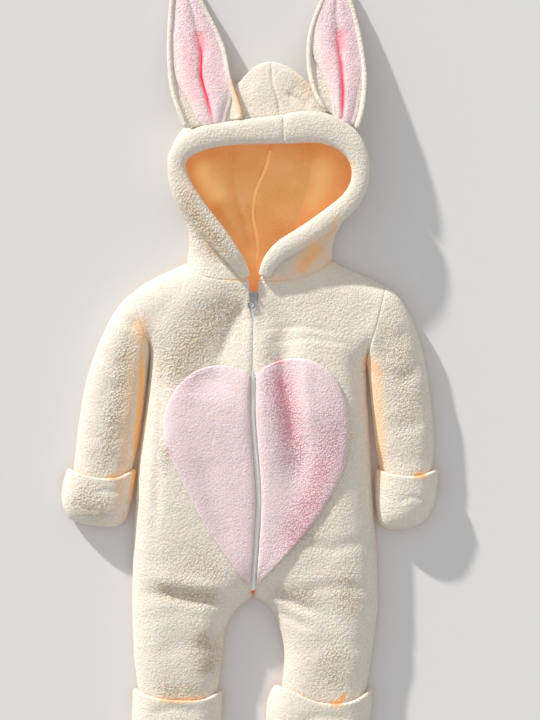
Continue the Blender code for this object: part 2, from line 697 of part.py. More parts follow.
def make_front(side):
    """Outer and inner points of a front with its leg."""
    sign = -1 if side == "left" else 1

    def inner_x(y):
        if y <= CROTCH_Y:
            return x_at(INSEAM[side], y)
        return x_at(ZIP_PATH, y) + sign * zip_half(y)

    neck = FRONT_NECK_COLUMNS
    shoulder = len(FRONT_COLUMNS) - neck
    neckline = [(inner_x(NECK_Y), NECK_Y)] + NECKLINE[side]
    top = np.concatenate([
        resample(neckline, FRONT_NECK_PARTS),
        resample(SHOULDER[side], np.linspace(0, 1, shoulder + 1)[1:]),
    ])
    plan = body_plan(side, inner_x, NECK_Y, top, FRONT_COLUMNS)
    z = front_z(plan, side)
    zip_edge = [(inner_x(y), y) for y in np.linspace(CROTCH_Y + 2, NECK_Y + 7, 41)]
    z = z - ZIP_DROP * (1 - rounded(distance_to(plan, zip_edge), ZIP_ROLL))
    outer = with_height(plan, np.maximum(z, SEAM_HEIGHT) + SEAM_GAP / 2)
    normal = turned(body_normals(outer, neck - 1), 1)
    wall = np.full(outer.shape[:2], WALL)
    crotch = TRUNK_ROWS.index(CROTCH_Y)
    wall[crotch + 1:, :2] = ZIP_EDGE_WALLS
    return outer, keep_above(outer - normal * wall[..., None], SEAM_HEIGHT + SEAM_GAP / 2)


def make_back(side):
    """Outer and inner points of a back with its leg."""
    sign = -1 if side == "left" else 1

    def inner_x(y):
        if y <= CROTCH_Y:
            return x_at(INSEAM[side], y)
        along = (y - CROTCH_Y) / (BACK_NECK[1] - CROTCH_Y)
        return along * BACK_NECK[0] + sign * SEAM_GAP / 2

    neck = BACK_NECK_COLUMNS
    shoulder = len(BACK_COLUMNS) - neck
    middle = (BACK_NECK[0] + sign * SEAM_GAP / 2, BACK_NECK[1])
    top = np.concatenate([
        resample([middle, NECK_POINT[side]], BACK_NECK_PARTS),
        resample(SHOULDER[side], np.linspace(0, 1, shoulder + 1)[1:]),
    ])
    plan = body_plan(side, inner_x, BACK_NECK[1], top, BACK_COLUMNS)
    z = under_z(plan, soft_edges(side))
    z = np.minimum(z, SEAM_HEIGHT - SEAM_GAP / 2)
    outer = with_height(plan, z)
    normal = turned(body_normals(outer, neck - 1), -1)
    return outer, keep_below(outer - normal * WALL, SEAM_HEIGHT - SEAM_GAP / 2)


# ---------------------------------------------------------------- sleeves, mitts and feet

def sleeve_ring(inner, outer, height, radius, seam_side=None):
    """One flattened ring of a sleeve, flat underneath."""
    inner, outer = np.array(inner, float), np.array(outer, float)
    width = np.linalg.norm(outer - inner)
    parts = np.array(SLEEVE_TOP + SLEEVE_UNDER)
    plan = inner + parts[:, None] * (outer - inner)
    edge = width * np.minimum(parts, 1 - parts)
    top = SEAM_HEIGHT + (height - SEAM_HEIGHT) * rounded(edge, radius)
    if seam_side:
        top = front_z(plan, seam_side)
    top = top - fold_depth(plan, SLEEVE_FOLDS) * rounded(edge, radius)
    under = SEAM_HEIGHT * (1 - rounded(edge, UNDER_RADIUS))
    is_top = np.arange(len(parts)) < len(SLEEVE_TOP)
    return with_height(plan, np.where(is_top, top, under))


def make_sleeve(side):
    """Outer and inner points of a sleeve, from the armhole to the hem inside the mitt."""
    seam = armhole(side, [0, 1])
    along = seam[1] - seam[0]
    away = np.array([-along[1], along[0]]) / np.linalg.norm(along)
    away *= np.sign(away[0] * seam[0][0])
    start = seam + away * SEAM_GAP
    rings = [sleeve_ring(start[0], start[1], 0, 1, side)]
    for in_x, in_y, out_x, out_y, height, radius in SLEEVE_SECTIONS[side]:
        rings.append(sleeve_ring((in_x, in_y), (out_x, out_y), height, radius))
    outer = np.array(rings)
    normal = grid_normals(outer, True)
    middle = outer.mean(axis=1, keepdims=True)
    normal *= np.sign(((outer - middle) * normal).sum())
    for row, axis in ((0, (away[0], away[1], 0)), (-1, (0, 1, 0))):
        mask = np.zeros(outer.shape[:2], bool)
        mask[row] = True
        normal = flatten_normals(normal, mask, axis)
    return outer, outer - normal * WALL


def pouch_plan(outline, rows, columns, rim):
    """Plan of a pouch: rows from its rim to its tip between its two sides."""
    first = resample(outline["first"], rows)
    last = resample(outline["last"], rows)
    part = np.array(columns)[None, :, None]
    plan = first[:, None] * (1 - part) + last[:, None] * part
    fade = np.array(rows)[:, None, None]
    tip = resample(outline["tip"], columns)
    plan = plan + fade ** 2 * (tip - plan[-1])[None]
    if rim:
        top = resample(outline["rim"], columns)
        plan = plan + (1 - fade) ** 3 * (top - plan[0])[None]
    return plan


def pouch_edges(outline):
    """The seam round a pouch, from one end of its rim to the other."""
    return [outline["first"] + outline["tip"][1:-1] + outline["last"][::-1]]


def pouch_normals(outer, upward, square_row):
    """Normals of a pouch or its back, with level end faces along the seam."""
    normal = turned(grid_normals(outer, False), upward)
    rows, columns = normal.shape[:2]
    level = np.zeros((rows, columns), bool)
    level[:, 0] = level[:, -1] = level[-1] = True
    normal = flatten_normals(normal, level, UP)
    for column, beside in ((0, 1), (-1, -2)):
        corner = normal[-2, column] + normal[-1, beside]
        normal[-1, column] = corner / np.linalg.norm(corner)
    if square_row:
        mask = np.zeros((rows, columns), bool)
        mask[0] = True
        normal = flatten_normals(normal, mask, (0, 1, 0))
        normal = flatten_normals(normal, level, UP)
    return normal


def make_pouch(kind, side, outline, height, radius, support):
    """Outer and inner points of an arched pouch that lies on a sleeve or leg."""
    plan = pouch_plan(outline, POUCH_ROWS, POUCH_COLUMNS, True)
    rise = rounded(edge_distance(plan, pouch_edges(outline)), radius)
    z = SEAM_HEIGHT + SEAM_GAP / 2 + (height - SEAM_HEIGHT) * rise
    centre, half_width = GAPES[(kind, side)]
    open_rim = np.exp(-(((plan[..., 0] - centre) / half_width) ** 2))
    z = z + POUCH_GAPE * open_rim * (1 - np.array(POUCH_ROWS)[:, None]) ** 4
    outer = with_height(plan, z)
    normal = pouch_normals(outer, 1, False)
    inner = keep_above(outer - normal * WALL, SEAM_HEIGHT + SEAM_GAP / 2)
    lift = lift_clear(inner, support, LAY_GAP)
    lift[:, 0] = lift[:, -1] = lift[-1] = 0
    inner[..., 2] += lift
    outer[..., 2] += lift
    return outer, inner


def below(outline, hem_y):
    """The part of a pouch's outline beyond the hem of the sleeve or leg."""
    sides = {"tip": outline["tip"]}
    for key in ("first", "last"):
        path = np.array(outline[key], float)[::-1]
        start = (x_at(path, hem_y), hem_y)
        sides[key] = [start] + [tuple(p) for p in path[::-1] if p[1] < hem_y]
    return sides


def make_pouch_back(outline, hem_y):
    """Outer and inner points of the flat back of a pouch."""
    sides = below(outline, hem_y - SEAM_GAP)
    plan = pouch_plan(sides, POUCH_ROWS, POUCH_COLUMNS, False)
    z = under_z(plan, pouch_edges(outline))
    outer = with_height(plan, np.minimum(z, SEAM_HEIGHT - SEAM_GAP / 2))
    normal = pouch_normals(outer, -1, True)
    return outer, keep_below(outer - normal * WALL, SEAM_HEIGHT - SEAM_GAP / 2)


# ---------------------------------------------------------------- hood and ears

def hood_section(rim, side_point, end):
    """A section from the rim over the side and down to the centre-back seam."""
    rim, side_point, end = np.array(rim, float), np.array(side_point, float), np.array(end)
    points = []
    for turn in HOOD_TURNS:
        angle = math.radians(turn)
        plan = side_point[:2] + (rim[:2] - side_point[:2]) * (1 - math.cos(angle))
        z = side_point[2] + (rim[2] - side_point[2]) * math.sin(angle)
        points.append((*plan, z))
    inward = end - side_point[:2]
    reach = np.linalg.norm(inward)
    inward = inward / reach
    radius = min(side_point[2], HOOD_UNDER_SHARE * reach)
    for turn in HOOD_UNDER_TURNS:
        angle = math.radians(turn)
        plan = side_point[:2] + inward * radius * (1 - math.cos(angle))
        points.append((*plan, side_point[2] * (1 - math.sin(angle))))
    flat_start = side_point[:2] + inward * radius
    points.append((*((flat_start + end) / 2), 0))
    points.append((*end, 0))
    return points


def make_hood(side, front, back):
    """Outer and inner points of a hood half, starting on the necklines of the body."""
    sign = -1 if side == "left" else 1
    shift = np.array([0, SEAM_GAP, 0])
    front_neck = [layer[-1, :FRONT_NECK_COLUMNS] + shift for layer in front]
    back_neck = [layer[-1, :BACK_NECK_COLUMNS - 1][::-1] + shift for layer in back]
    seam = sign * SEAM_GAP / 2
    rows = []
    for rim_x, rim_y, rim_z, x, y, z, back_y in HOOD_SECTIONS[side]:
        end = (x_at(BACK_SEAM, back_y) + seam, back_y)
        rows.append(hood_section((rim_x, rim_y, rim_z), (x, y, z), end))
    x0, y0, z0, x1, y1, z1 = CROWN_SECTION
    end = (CROWN_SEAM_END[0] + seam, CROWN_SEAM_END[1])
    rows.append(hood_section((x0 + seam, y0, z0), (x1 + seam, y1, z1), end))
    first = np.concatenate([front_neck[0], back_neck[0]])
    outer = np.concatenate([first[None], np.array(rows)])
    normal = grid_normals(outer, False)
    middle = outer.mean(axis=1, keepdims=True)
    normal *= np.sign(((outer - middle) * normal).sum())
    crown = np.array([y1 - y0, x0 - x1, 0]) / math.hypot(y1 - y0, x0 - x1)
    mask = np.zeros(outer.shape[:2], bool)
    mask[-1] = True
    normal = flatten_normals(normal, mask, crown)
    normal[:, -2:] = (0, 0, -1)
    inner = outer - normal * WALL
    inner[0] = np.concatenate([front_neck[1], back_neck[1]])
    return outer, inner


def make_rim(side):
    """Rings of the rolled facing round the face opening."""
    table = np.array(HOOD_RIM[side], float)
    across = sideways(table)
    rings = []
    for (x, y, width, z), (ax, ay, _) in zip(table, across):
        ring = []
        for k in range(RIM_POINTS):
            angle = 2 * math.pi * (k + 0.5) / RIM_POINTS
            flat, tall = math.cos(angle), math.sin(angle)
            reach = 0.5 * width * math.copysign(abs(flat) ** RIM_SQUARENESS, flat)
            high = 0.5 * RIM_HEIGHT * min(1, width / RIM_FULL_WIDTH)
            top = high + high * math.copysign(abs(tall) ** RIM_SQUARENESS, tall)
            ring.append((x + ax * reach, y + ay * reach, z + top))
        rings.append(ring)
    rings = np.array(rings)
    rings[-1, :, 0] = table[-1, 0]
    return rings


def ear_plan(table, x):
    """Plan points of an ear at the given x of each section, which slants near the hood."""
    y0, y1, x0, x1 = (table[:, k:k + 1] for k in range(4))
    return np.stack([x, y0 + (y1 - y0) * (x - x0) / (x1 - x0)], -1)


def make_ear(side, support):
    """Outer and inner points of an ear's cream shell, a shallow dish that lies on the hood."""
    table = np.array([row[:4] + row[7:] for row in EAR_SECTIONS[side]], float)
    left, right, bottom = table[:, 2:3], table[:, 3:4], table[:, 4:5]
    part = np.array(EAR_COLUMNS)
    x = left * (1 - part) + right * part
    curl = np.minimum(EAR_CURL, (right - left) * EAR_CURL_SHARE)
    edge = np.minimum(x - left, right - x)
    z = bottom + curl * (1 - rounded(edge, curl))
    outer = with_height(ear_plan(table, x), z)
    normal = turned(grid_normals(outer, False), -1)
    mask = np.zeros(outer.shape[:2], bool)
    mask[:, 0] = mask[:, -1] = True
    normal = flatten_normals(normal, mask, UP)
    mask = np.zeros(outer.shape[:2], bool)
    mask[0] = True
    normal = flatten_normals(normal, mask, sideways(outer[0])[len(part) // 2])
    lift = lift_clear(outer, support, LAY_GAP)
    outer[..., 2] += lift.max(axis=1, keepdims=True)
    return outer, outer - normal * EAR_WALL


def make_ear_lining(side, ear):
    """Outer and inner points of an ear's pink lining, puffed on both sides of a deep crease."""
    table = np.array([row for row in EAR_SECTIONS[side] if row[4] is not None], float)
    clear = EAR_WALL + LINING_INSET
    left = np.maximum(table[:, 4], table[:, 2] + clear)[:, None]
    right = np.minimum(table[:, 5], table[:, 3] - clear)[:, None]
    crease = table[:, 6:7]
    part = np.array(LINING_COLUMNS)
    x = np.where(
        part <= 0.5,
        left + (crease - left) * part / 0.5,
        crease + (right - crease) * (part - 0.5) / 0.5,
    )
    tree = surface_of(ear)
    plan = ear_plan(table, x)
    plan[0, :, 1] += LINING_SETBACK
    base = height_on(tree, with_height(plan, np.zeros(x.shape)))
    column = LINING_COLUMNS.index(0.5)
    middle = base[:, column:column + 1]
    puff = np.array(LINING_PUFF) * np.minimum(LINING_RISE, (right - left) * LINING_RISE_SHARE)
    under = with_height(plan, middle + LAY_GAP + puff)
    under[..., 2] += lift_clear(under, tree, LAY_GAP)
    normal = turned(grid_normals(under, False), 1)
    normal[..., 0] *= LINING_LEAN
    normal[:, 0, 0] = normal[:, -1, 0] = 0
    normal /= np.linalg.norm(normal, axis=-1, keepdims=True)
    return under + normal * LINING_WALL, under


# ---------------------------------------------------------------- heart and zip

def make_heart(side, fronts):
    """Outer and inner points of a heart half that lies on its front."""
    sign = -1 if side == "left" else 1
    ys = np.linspace(HEART_TOP_Y, HEART_POINT_Y, 24)
    edge = [(x_at(ZIP_PATH, y) + sign * (zip_half(y) + HEART_INSET), y) for y in ys]
    parts = np.array(HEART_ROWS)
    start = resample(edge, parts[:, 0])
    stop = resample(HEART_OUTLINE[side], parts[:, 1])
    part = np.array(HEART_COLUMNS)[None, :, None]
    plan = start[:, None] * (1 - part) + stop[:, None] * part
    tree = surface_of(fronts)
    under = with_height(plan, front_z(plan, side))
    under[..., 2] = height_on(tree, under) + HEART_GAP
    under[..., 2] += lift_clear(under, tree, HEART_GAP)
    thick = np.full(under.shape[:2], HEART_THICK)
    thick[:, 0] = thick[:, -1] = thick[0] = thick[-1] = HEART_EDGE_THICK
    top = under.copy()
    top[..., 2] += thick
    return top, under


def make_tape(side, front):
    """Upper and lower points of a zip tape under the edge of a front."""
    sign = -1 if side == "left" else 1
    start = TRUNK_ROWS.index(ZIP_END_Y)
    inner = front[1][start:, :3].copy()
    middle = inner[:, 0].copy()
    middle[:, 0] = x_at(ZIP_PATH, inner[:, 0, 1]) + sign * SEAM_GAP / 2
    top = np.concatenate([middle[:, None], inner[:, :2]], 1)
    top[..., 2] -= SEAM_GAP
    top[:, 0, 2] = top[:, 1, 2]
    under = top.copy()
    under[..., 2] -= TAPE_THICK
    return top, under


def make_coil(tapes):
    """Rings of the closed coil, a low rounded ridge along both tapes."""
    half = COIL_WIDTH / 2
    shape = [(-half, 0), (-half, 0.55), (-half * 0.5, 1), (half * 0.5, 1), (half, 0.55), (half, 0)]
    rings = []
    for left, right in zip(tapes[0][0][:, 0], tapes[1][0][:, 0]):
        x, y = (left[0] + right[0]) / 2, left[1]
        z = max(left[2], right[2]) + SEAM_GAP
        rings.append([(x + dx, y, z + high * COIL_HEIGHT) for dx, high in shape])
    return np.array(rings)


def zip_top(coil):
    """Where the slider sits: x of the zip and height of the coil there."""
    middle = coil.mean(axis=1)
    x = np.interp(SLIDER_Y, middle[:, 1], middle[:, 0])
    z = np.interp(SLIDER_Y, middle[:, 1], coil[:, 2, 2])
    return x, z


def make_slider(x, z):
    """Rings of the slider's body from its tail to its wider nose."""
    sections = [  # part of the length, part of the width, bottom, part of the height
        (0.0, 0.62, 0.0, 0.35), (0.12, 0.74, 0.0, 0.7), (0.45, 0.86, 0.0, 1.0),
        (0.8, 1.0, 0.0, 1.0), (0.93, 0.92, 0.0, 0.75), (1.0, 0.7, 0.0, 0.4),
    ]
    rings = []
    for along, wide, low, high in sections:
        half = SLIDER_WIDTH / 2 * wide
        y = SLIDER_Y + (along - 0.4) * SLIDER_LENGTH
        base = z + SEAM_GAP
        top = base + SLIDER_HEIGHT * high
        chamfer = min(0.8, 0.4 * SLIDER_HEIGHT * high)
        rings.append([
            (x - half, y, base + low), (x - half, y, top - chamfer),
            (x - half + chamfer, y, top), (x + half - chamfer, y, top),
            (x + half, y, top - chamfer), (x + half, y, base + low),
        ])
    return np.array(rings)


def pull_outline():
    """The pull's outline and hole in its own plane, x across and y along it."""
    end = PULL_THICK / 2
    waist, waist_y = PULL_WAIST
    right = [(waist, waist_y), (PULL_STRAP, PULL_STRAP_END), (PULL_STRAP, end)]
    outline = [(-x, y) for x, y in right[::-1]]
    centre = -(PULL_LENGTH - PULL_RING)
    for k in range(15):
        angle = math.radians(150 + k * 240 / 14)
        outline.append((PULL_RING * math.cos(angle), centre + PULL_RING * math.sin(angle)))
    outline += right
    hole = []
    for k in range(16):
        angle = 2 * math.pi * k / 16
        hole.append((PULL_HOLE * math.cos(angle), centre + PULL_HOLE * math.sin(angle)))
    return outline, hole


def make_pull(pivot):
    """The flat pull with the round hole in its ring, leaning to the left of the zip."""
    outline, hole = pull_outline()
    mesh = bmesh.new()
    edges = []
    for loop in (outline, hole):
        verts = [mesh.verts.new((x * MM, y * MM, -0.5 * PULL_THICK * MM)) for x, y in loop]
        for a, b in zip(verts, verts[1:] + verts[:1]):
            edges.append(mesh.edges.new((a, b)))
    bmesh.ops.triangle_fill(mesh, use_beauty=True, use_dissolve=False, edges=edges)
    filled = list(mesh.faces)
    raised = bmesh.ops.extrude_face_region(mesh, geom=filled)
    verts = [item for item in raised["geom"] if isinstance(item, bmesh.types.BMVert)]
    bmesh.ops.translate(mesh, vec=(0, 0, PULL_THICK * MM), verts=verts)
    turn = -PULL_LEAN
    for vert in mesh.verts:
        x, y, z = vert.co
        vert.co.x = x * math.cos(turn) - y * math.sin(turn) + pivot[0]
        vert.co.y = x * math.sin(turn) + y * math.cos(turn) + pivot[1]
        vert.co.z = z + pivot[2]
    return mesh


# ---------------------------------------------------------------- the whole suit

def build_body():
    """Fronts, backs and what is sewn to them."""
    fronts, backs, pieces = {}, {}, {}
    for side in ("left", "right"):
        fronts[side] = make_front(side)
        backs[side] = make_back(side)
        pieces["front", side] = add_cloth("front_" + side, *fronts[side], "cream")
        add_cloth("back_" + side, *backs[side], "cream")
        add_cloth("heart_" + side, *make_heart(side, pieces["front", side]), "pink")
        pieces["sleeve", side] = add_cloth(
            "sleeve_" + side, *make_sleeve(side), "cream", wrap=True)
    return fronts, backs, pieces


def build_ends(pieces):
    """Fold-over mitts and feet."""
    for side in ("left", "right"):
        for kind, outline, height, radius, hem, over in (
            ("mitt", MITT[side], MITT_HEIGHT, MITT_RADIUS, MITT_HEM_Y, "sleeve"),
            ("foot", FOOT[side], FOOT_HEIGHT, FOOT_RADIUS, FOOT_HEM_Y, "front"),
        ):
            support = surface_of(pieces[over, side])
            pouch = make_pouch(kind, side, outline, height, radius, support)
            add_cloth(kind + "_front_" + side, *pouch, "cream")
            add_cloth(kind + "_back_" + side, *make_pouch_back(outline, hem), "cream")


def build_hood(fronts, backs):
    """Hood halves, rolled facing and ears."""
    for side in ("left", "right"):
        hood = add_cloth("hood_" + side, *make_hood(side, fronts[side], backs[side]), "cream")
        add_object("hood_rim_" + side, join_rings(make_rim(side)), "cream")
        ear = add_cloth("ear_" + side, *make_ear(side, surface_of(hood)), "cream")
        add_cloth("ear_lining_" + side, *make_ear_lining(side, ear), "pink")


def build_zip(fronts):
    """Tapes, coil, slider and the pull on its hinge."""
    tapes = [make_tape(side, fronts[side]) for side in ("left", "right")]
    for side, tape in zip(("left", "right"), tapes):
        add_cloth("zip_tape_" + side, *tape, "tape")
    coil = make_coil(tapes)
    add_object("zip_coil", join_rings(coil), "coil")
    x, z = zip_top(coil)
    slider = make_slider(x, z)
    add_object("zip_slider", join_rings(slider), "nickel")
    top = slider[..., 2].max() + PULL_CLEAR + PULL_THICK / 2
    pivot = tuple(float(v) for v in place((x, SLIDER_Y, top)))
    add_object("zip_pull", make_pull(pivot), "nickel", pivot)


def main():
    for old in list(bpy.data.objects):
        bpy.data.objects.remove(old, do_unlink=True)
    fronts, backs, pieces = build_body()
    build_ends(pieces)
    build_hood(fronts, backs)
    build_zip(fronts)


main()
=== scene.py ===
"""The looks of a hooded fleece baby suit that lies flat: pile, folds, heart, zip and studio."""

import itertools
import json
import math
from collections import namedtuple

import bmesh
import bpy
import numpy as np
from bpy.props import FloatProperty, FloatVectorProperty, PointerProperty
from mathutils import Matrix, Vector
from mathutils.bvhtree import BVHTree

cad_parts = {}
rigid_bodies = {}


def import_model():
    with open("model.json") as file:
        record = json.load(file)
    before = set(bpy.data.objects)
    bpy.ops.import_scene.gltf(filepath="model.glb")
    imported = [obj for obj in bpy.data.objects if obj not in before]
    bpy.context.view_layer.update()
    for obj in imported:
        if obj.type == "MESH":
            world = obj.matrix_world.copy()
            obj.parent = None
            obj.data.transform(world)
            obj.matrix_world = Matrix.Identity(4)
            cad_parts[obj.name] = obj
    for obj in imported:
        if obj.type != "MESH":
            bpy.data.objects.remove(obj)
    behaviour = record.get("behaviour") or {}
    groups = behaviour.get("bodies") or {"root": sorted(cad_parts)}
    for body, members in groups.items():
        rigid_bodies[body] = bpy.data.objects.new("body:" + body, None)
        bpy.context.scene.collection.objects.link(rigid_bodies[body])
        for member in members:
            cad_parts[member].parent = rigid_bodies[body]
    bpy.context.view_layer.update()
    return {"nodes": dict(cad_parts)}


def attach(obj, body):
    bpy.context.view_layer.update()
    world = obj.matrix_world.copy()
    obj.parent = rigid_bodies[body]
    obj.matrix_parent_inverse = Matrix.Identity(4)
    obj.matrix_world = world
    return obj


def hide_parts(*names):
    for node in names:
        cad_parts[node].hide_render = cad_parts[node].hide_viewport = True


for old in list(bpy.data.objects):
    bpy.data.objects.remove(old, do_unlink=True)
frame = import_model()

bl_info = {
    "name": "Hooded fleece suit",
    "version": (1, 0, 0),
    "blender": (4, 5, 0),
    "location": "3D View > Sidebar > Suit",
    "description": "Dresses the solids of a baby's fleece suit in pile, folds, heart and zip",
    "category": "Object",
}

MM = 0.001
FLOOR_Z = 0.0
PILE_RELIEF = 0.0028  # metres of relief where the pile is fully ruffled
KNOB_RELIEF = 1.3  # how much more the curls stand out in it than the fibres
CURL_DRIFT = 0.0010  # metres by which the curls stray from an even pattern
PAINTED_GLOW_STRENGTH = 0.3  # strength of the painted glow where the painted warm shade lies

# How each piece of fleece is made: the way that it faces, the width, length and area of its
# whole cut in metres, how it is held, what lies on it and what it rests on
Cloth = namedtuple("Cloth", "way width length area held covers rests")
FLEECE = {
    "front_left": ("top", 0.180, 0.565, 0.081, "laid",
                   ("heart_left", "foot_front_left", "hood_rim_left", "zip_coil"), ("back_left",)),
    "front_right": ("top", 0.190, 0.570, 0.083, "laid",
                    ("heart_right", "foot_front_right", "hood_rim_right", "zip_coil"),
                    ("back_right",)),
    "back_left": ("under", 0.165, 0.562, 0.079, "laid", (), ("floor",)),
    "back_right": ("under", 0.175, 0.565, 0.083, "laid", (), ("floor",)),
    "sleeve_left": ("tube", 0.175, 0.245, 0.037, "laid", ("mitt_front_left",), ("floor",)),
    "sleeve_right": ("tube", 0.175, 0.245, 0.037, "laid", ("mitt_front_right",), ("floor",)),
    "mitt_front_left": ("top", 0.100, 0.084, 0.0074, "folded", (), ("sleeve_left",)),
    "mitt_front_right": ("top", 0.092, 0.084, 0.0069, "folded", (), ("sleeve_right",)),
    "mitt_back_left": ("under", 0.094, 0.050, 0.0042, "laid", (), ("floor",)),
    "mitt_back_right": ("under", 0.084, 0.052, 0.0038, "laid", (), ("floor",)),
    "foot_front_left": ("top", 0.128, 0.108, 0.0123, "folded", (), ("front_left",)),
    "foot_front_right": ("top", 0.148, 0.112, 0.0143, "folded", (), ("front_right",)),
    "foot_back_left": ("under", 0.120, 0.082, 0.0088, "laid", (), ("floor",)),
    "foot_back_right": ("under", 0.140, 0.084, 0.0103, "laid", (), ("floor",)),
    "hood_left": ("hood", 0.200, 0.270, 0.0405, "draped",
                  ("ear_left", "hood_rim_left", "ear_right"), ("floor",)),
    "hood_right": ("hood", 0.200, 0.270, 0.0413, "draped",
                   ("ear_right", "hood_rim_right", "ear_left"), ("floor",)),
    "hood_rim_left": ("all", 0.046, 0.335, 0.0150, "folded", ("ear_left",), ("hood_left",)),
    "hood_rim_right": ("all", 0.046, 0.335, 0.0150, "folded", ("ear_right",), ("hood_right",)),
    "ear_left": ("all", 0.108, 0.208, 0.0150, "laid", ("ear_lining_left", "hood_rim_left"),
                 ("hood_left", "floor")),
    "ear_right": ("all", 0.098, 0.208, 0.0135, "laid", ("ear_lining_right", "hood_rim_right"),
                  ("hood_right", "floor")),
    "ear_lining_left": ("top", 0.080, 0.190, 0.0099, "laid", ("hood_rim_left",), ("ear_left",)),
    "ear_lining_right": ("top", 0.070, 0.190, 0.0086, "laid", ("hood_rim_right",), ("ear_right",)),
    "heart_left": ("top", 0.118, 0.290, 0.0215, "laid", (), ("front_left",)),
    "heart_right": ("top", 0.122, 0.292, 0.0238, "laid", (), ("front_right",)),
}
FLEECE = {node: Cloth(*row) for node, row in FLEECE.items()}
SLEEVE_AXES = {  # x, y of the middle line of each sleeve
    "sleeve_left": [(-146, 55), (-163, 10), (-175, -60), (-185, -120), (-187, -155)],
    "sleeve_right": [(172, 62), (185, 20), (194, -60), (199, -120), (198, -155)],
}
HOOD_AXIS = [(8, 110), (12, 150), (24, 225), (26, 265), (27, 330), (27, 372)]
TUBE_MIDDLE_Z = 15.0
HOOD_MIDDLE_Z = 20.0
CORNER_ANGLE = 0.9  # cut edges of the cloth turn by more than this
CORNER_FIRMNESS = 0.36  # and keep this much of their sharpness
ROUNDING_LEVELS = 2
REFINE_ROUNDS = 5
LOW_Z = 1.5  # faces lower than this lie on the floor
PILE_REACH = 3.3  # room that the pile needs to stand freely
PILE_LEAST = 0.3  # room in which it lies flat
RAY_START = 0.05  # rays start this far outside the cloth
NO_ROOM = 0.02  # edges with less than this share of room don't show
LINING_SWELL = 4.5  # how far the edges of the ear linings press outwards
LINING_LIFT = 1.8  # and how much they rise over the edge of the ear
SWELL_TURN = 1.6  # how soon the swelling ends where the cloth turns up
CREASE_FLOOR = 9.0  # creases of the upper side stop above this height
CREASE_FADE = 6.0  # and are whole this much higher
EDGE_PAINTED_SHADE = 0.34  # painted warm shade and glow where the cloth turns down
EDGE_TURN = 0.55  # its normal rises less than this there
EDGE_HEIGHT = 30.0  # and the painted shade and glow fade out at this height
RESTING_HEIGHT = 3.5  # the pile is pressed flat under this height
RESTING_TURN = -0.2  # where the cloth faces the floor by more than this
PRESSING = 0.9  # share of the pile's height that is pressed in there
PILE_STANDS = 0.4  # share of its height that the pile has everywhere
PILE_PATCHES = 0.4  # and that it gains in its higher patches
KNOB_STANDS = 0.15  # the same shares for the curls on it
KNOB_PATCHES = 0.1
KNOB_RUFFLED = 0.5  # and what they gain in ruffled places
ZIP_PILE = 0.25  # share of its height that the pile keeps beside the zip
ZIP_STILL = 4.0  # distance from the zip's middle in which the cloth stays
ZIP_FREE = 9.0  # and the distance after it in which it gets free
FLOOR_GAP = 0.02
HOOD_SEAM_START = 30.0  # height inside the hood, over its lower layer
HOOD_SEAM_LEAST = 4.6  # the lower layer is at least this thick
SIDE_LEAN = 0.35  # how far a face may lean inwards and still count as outside

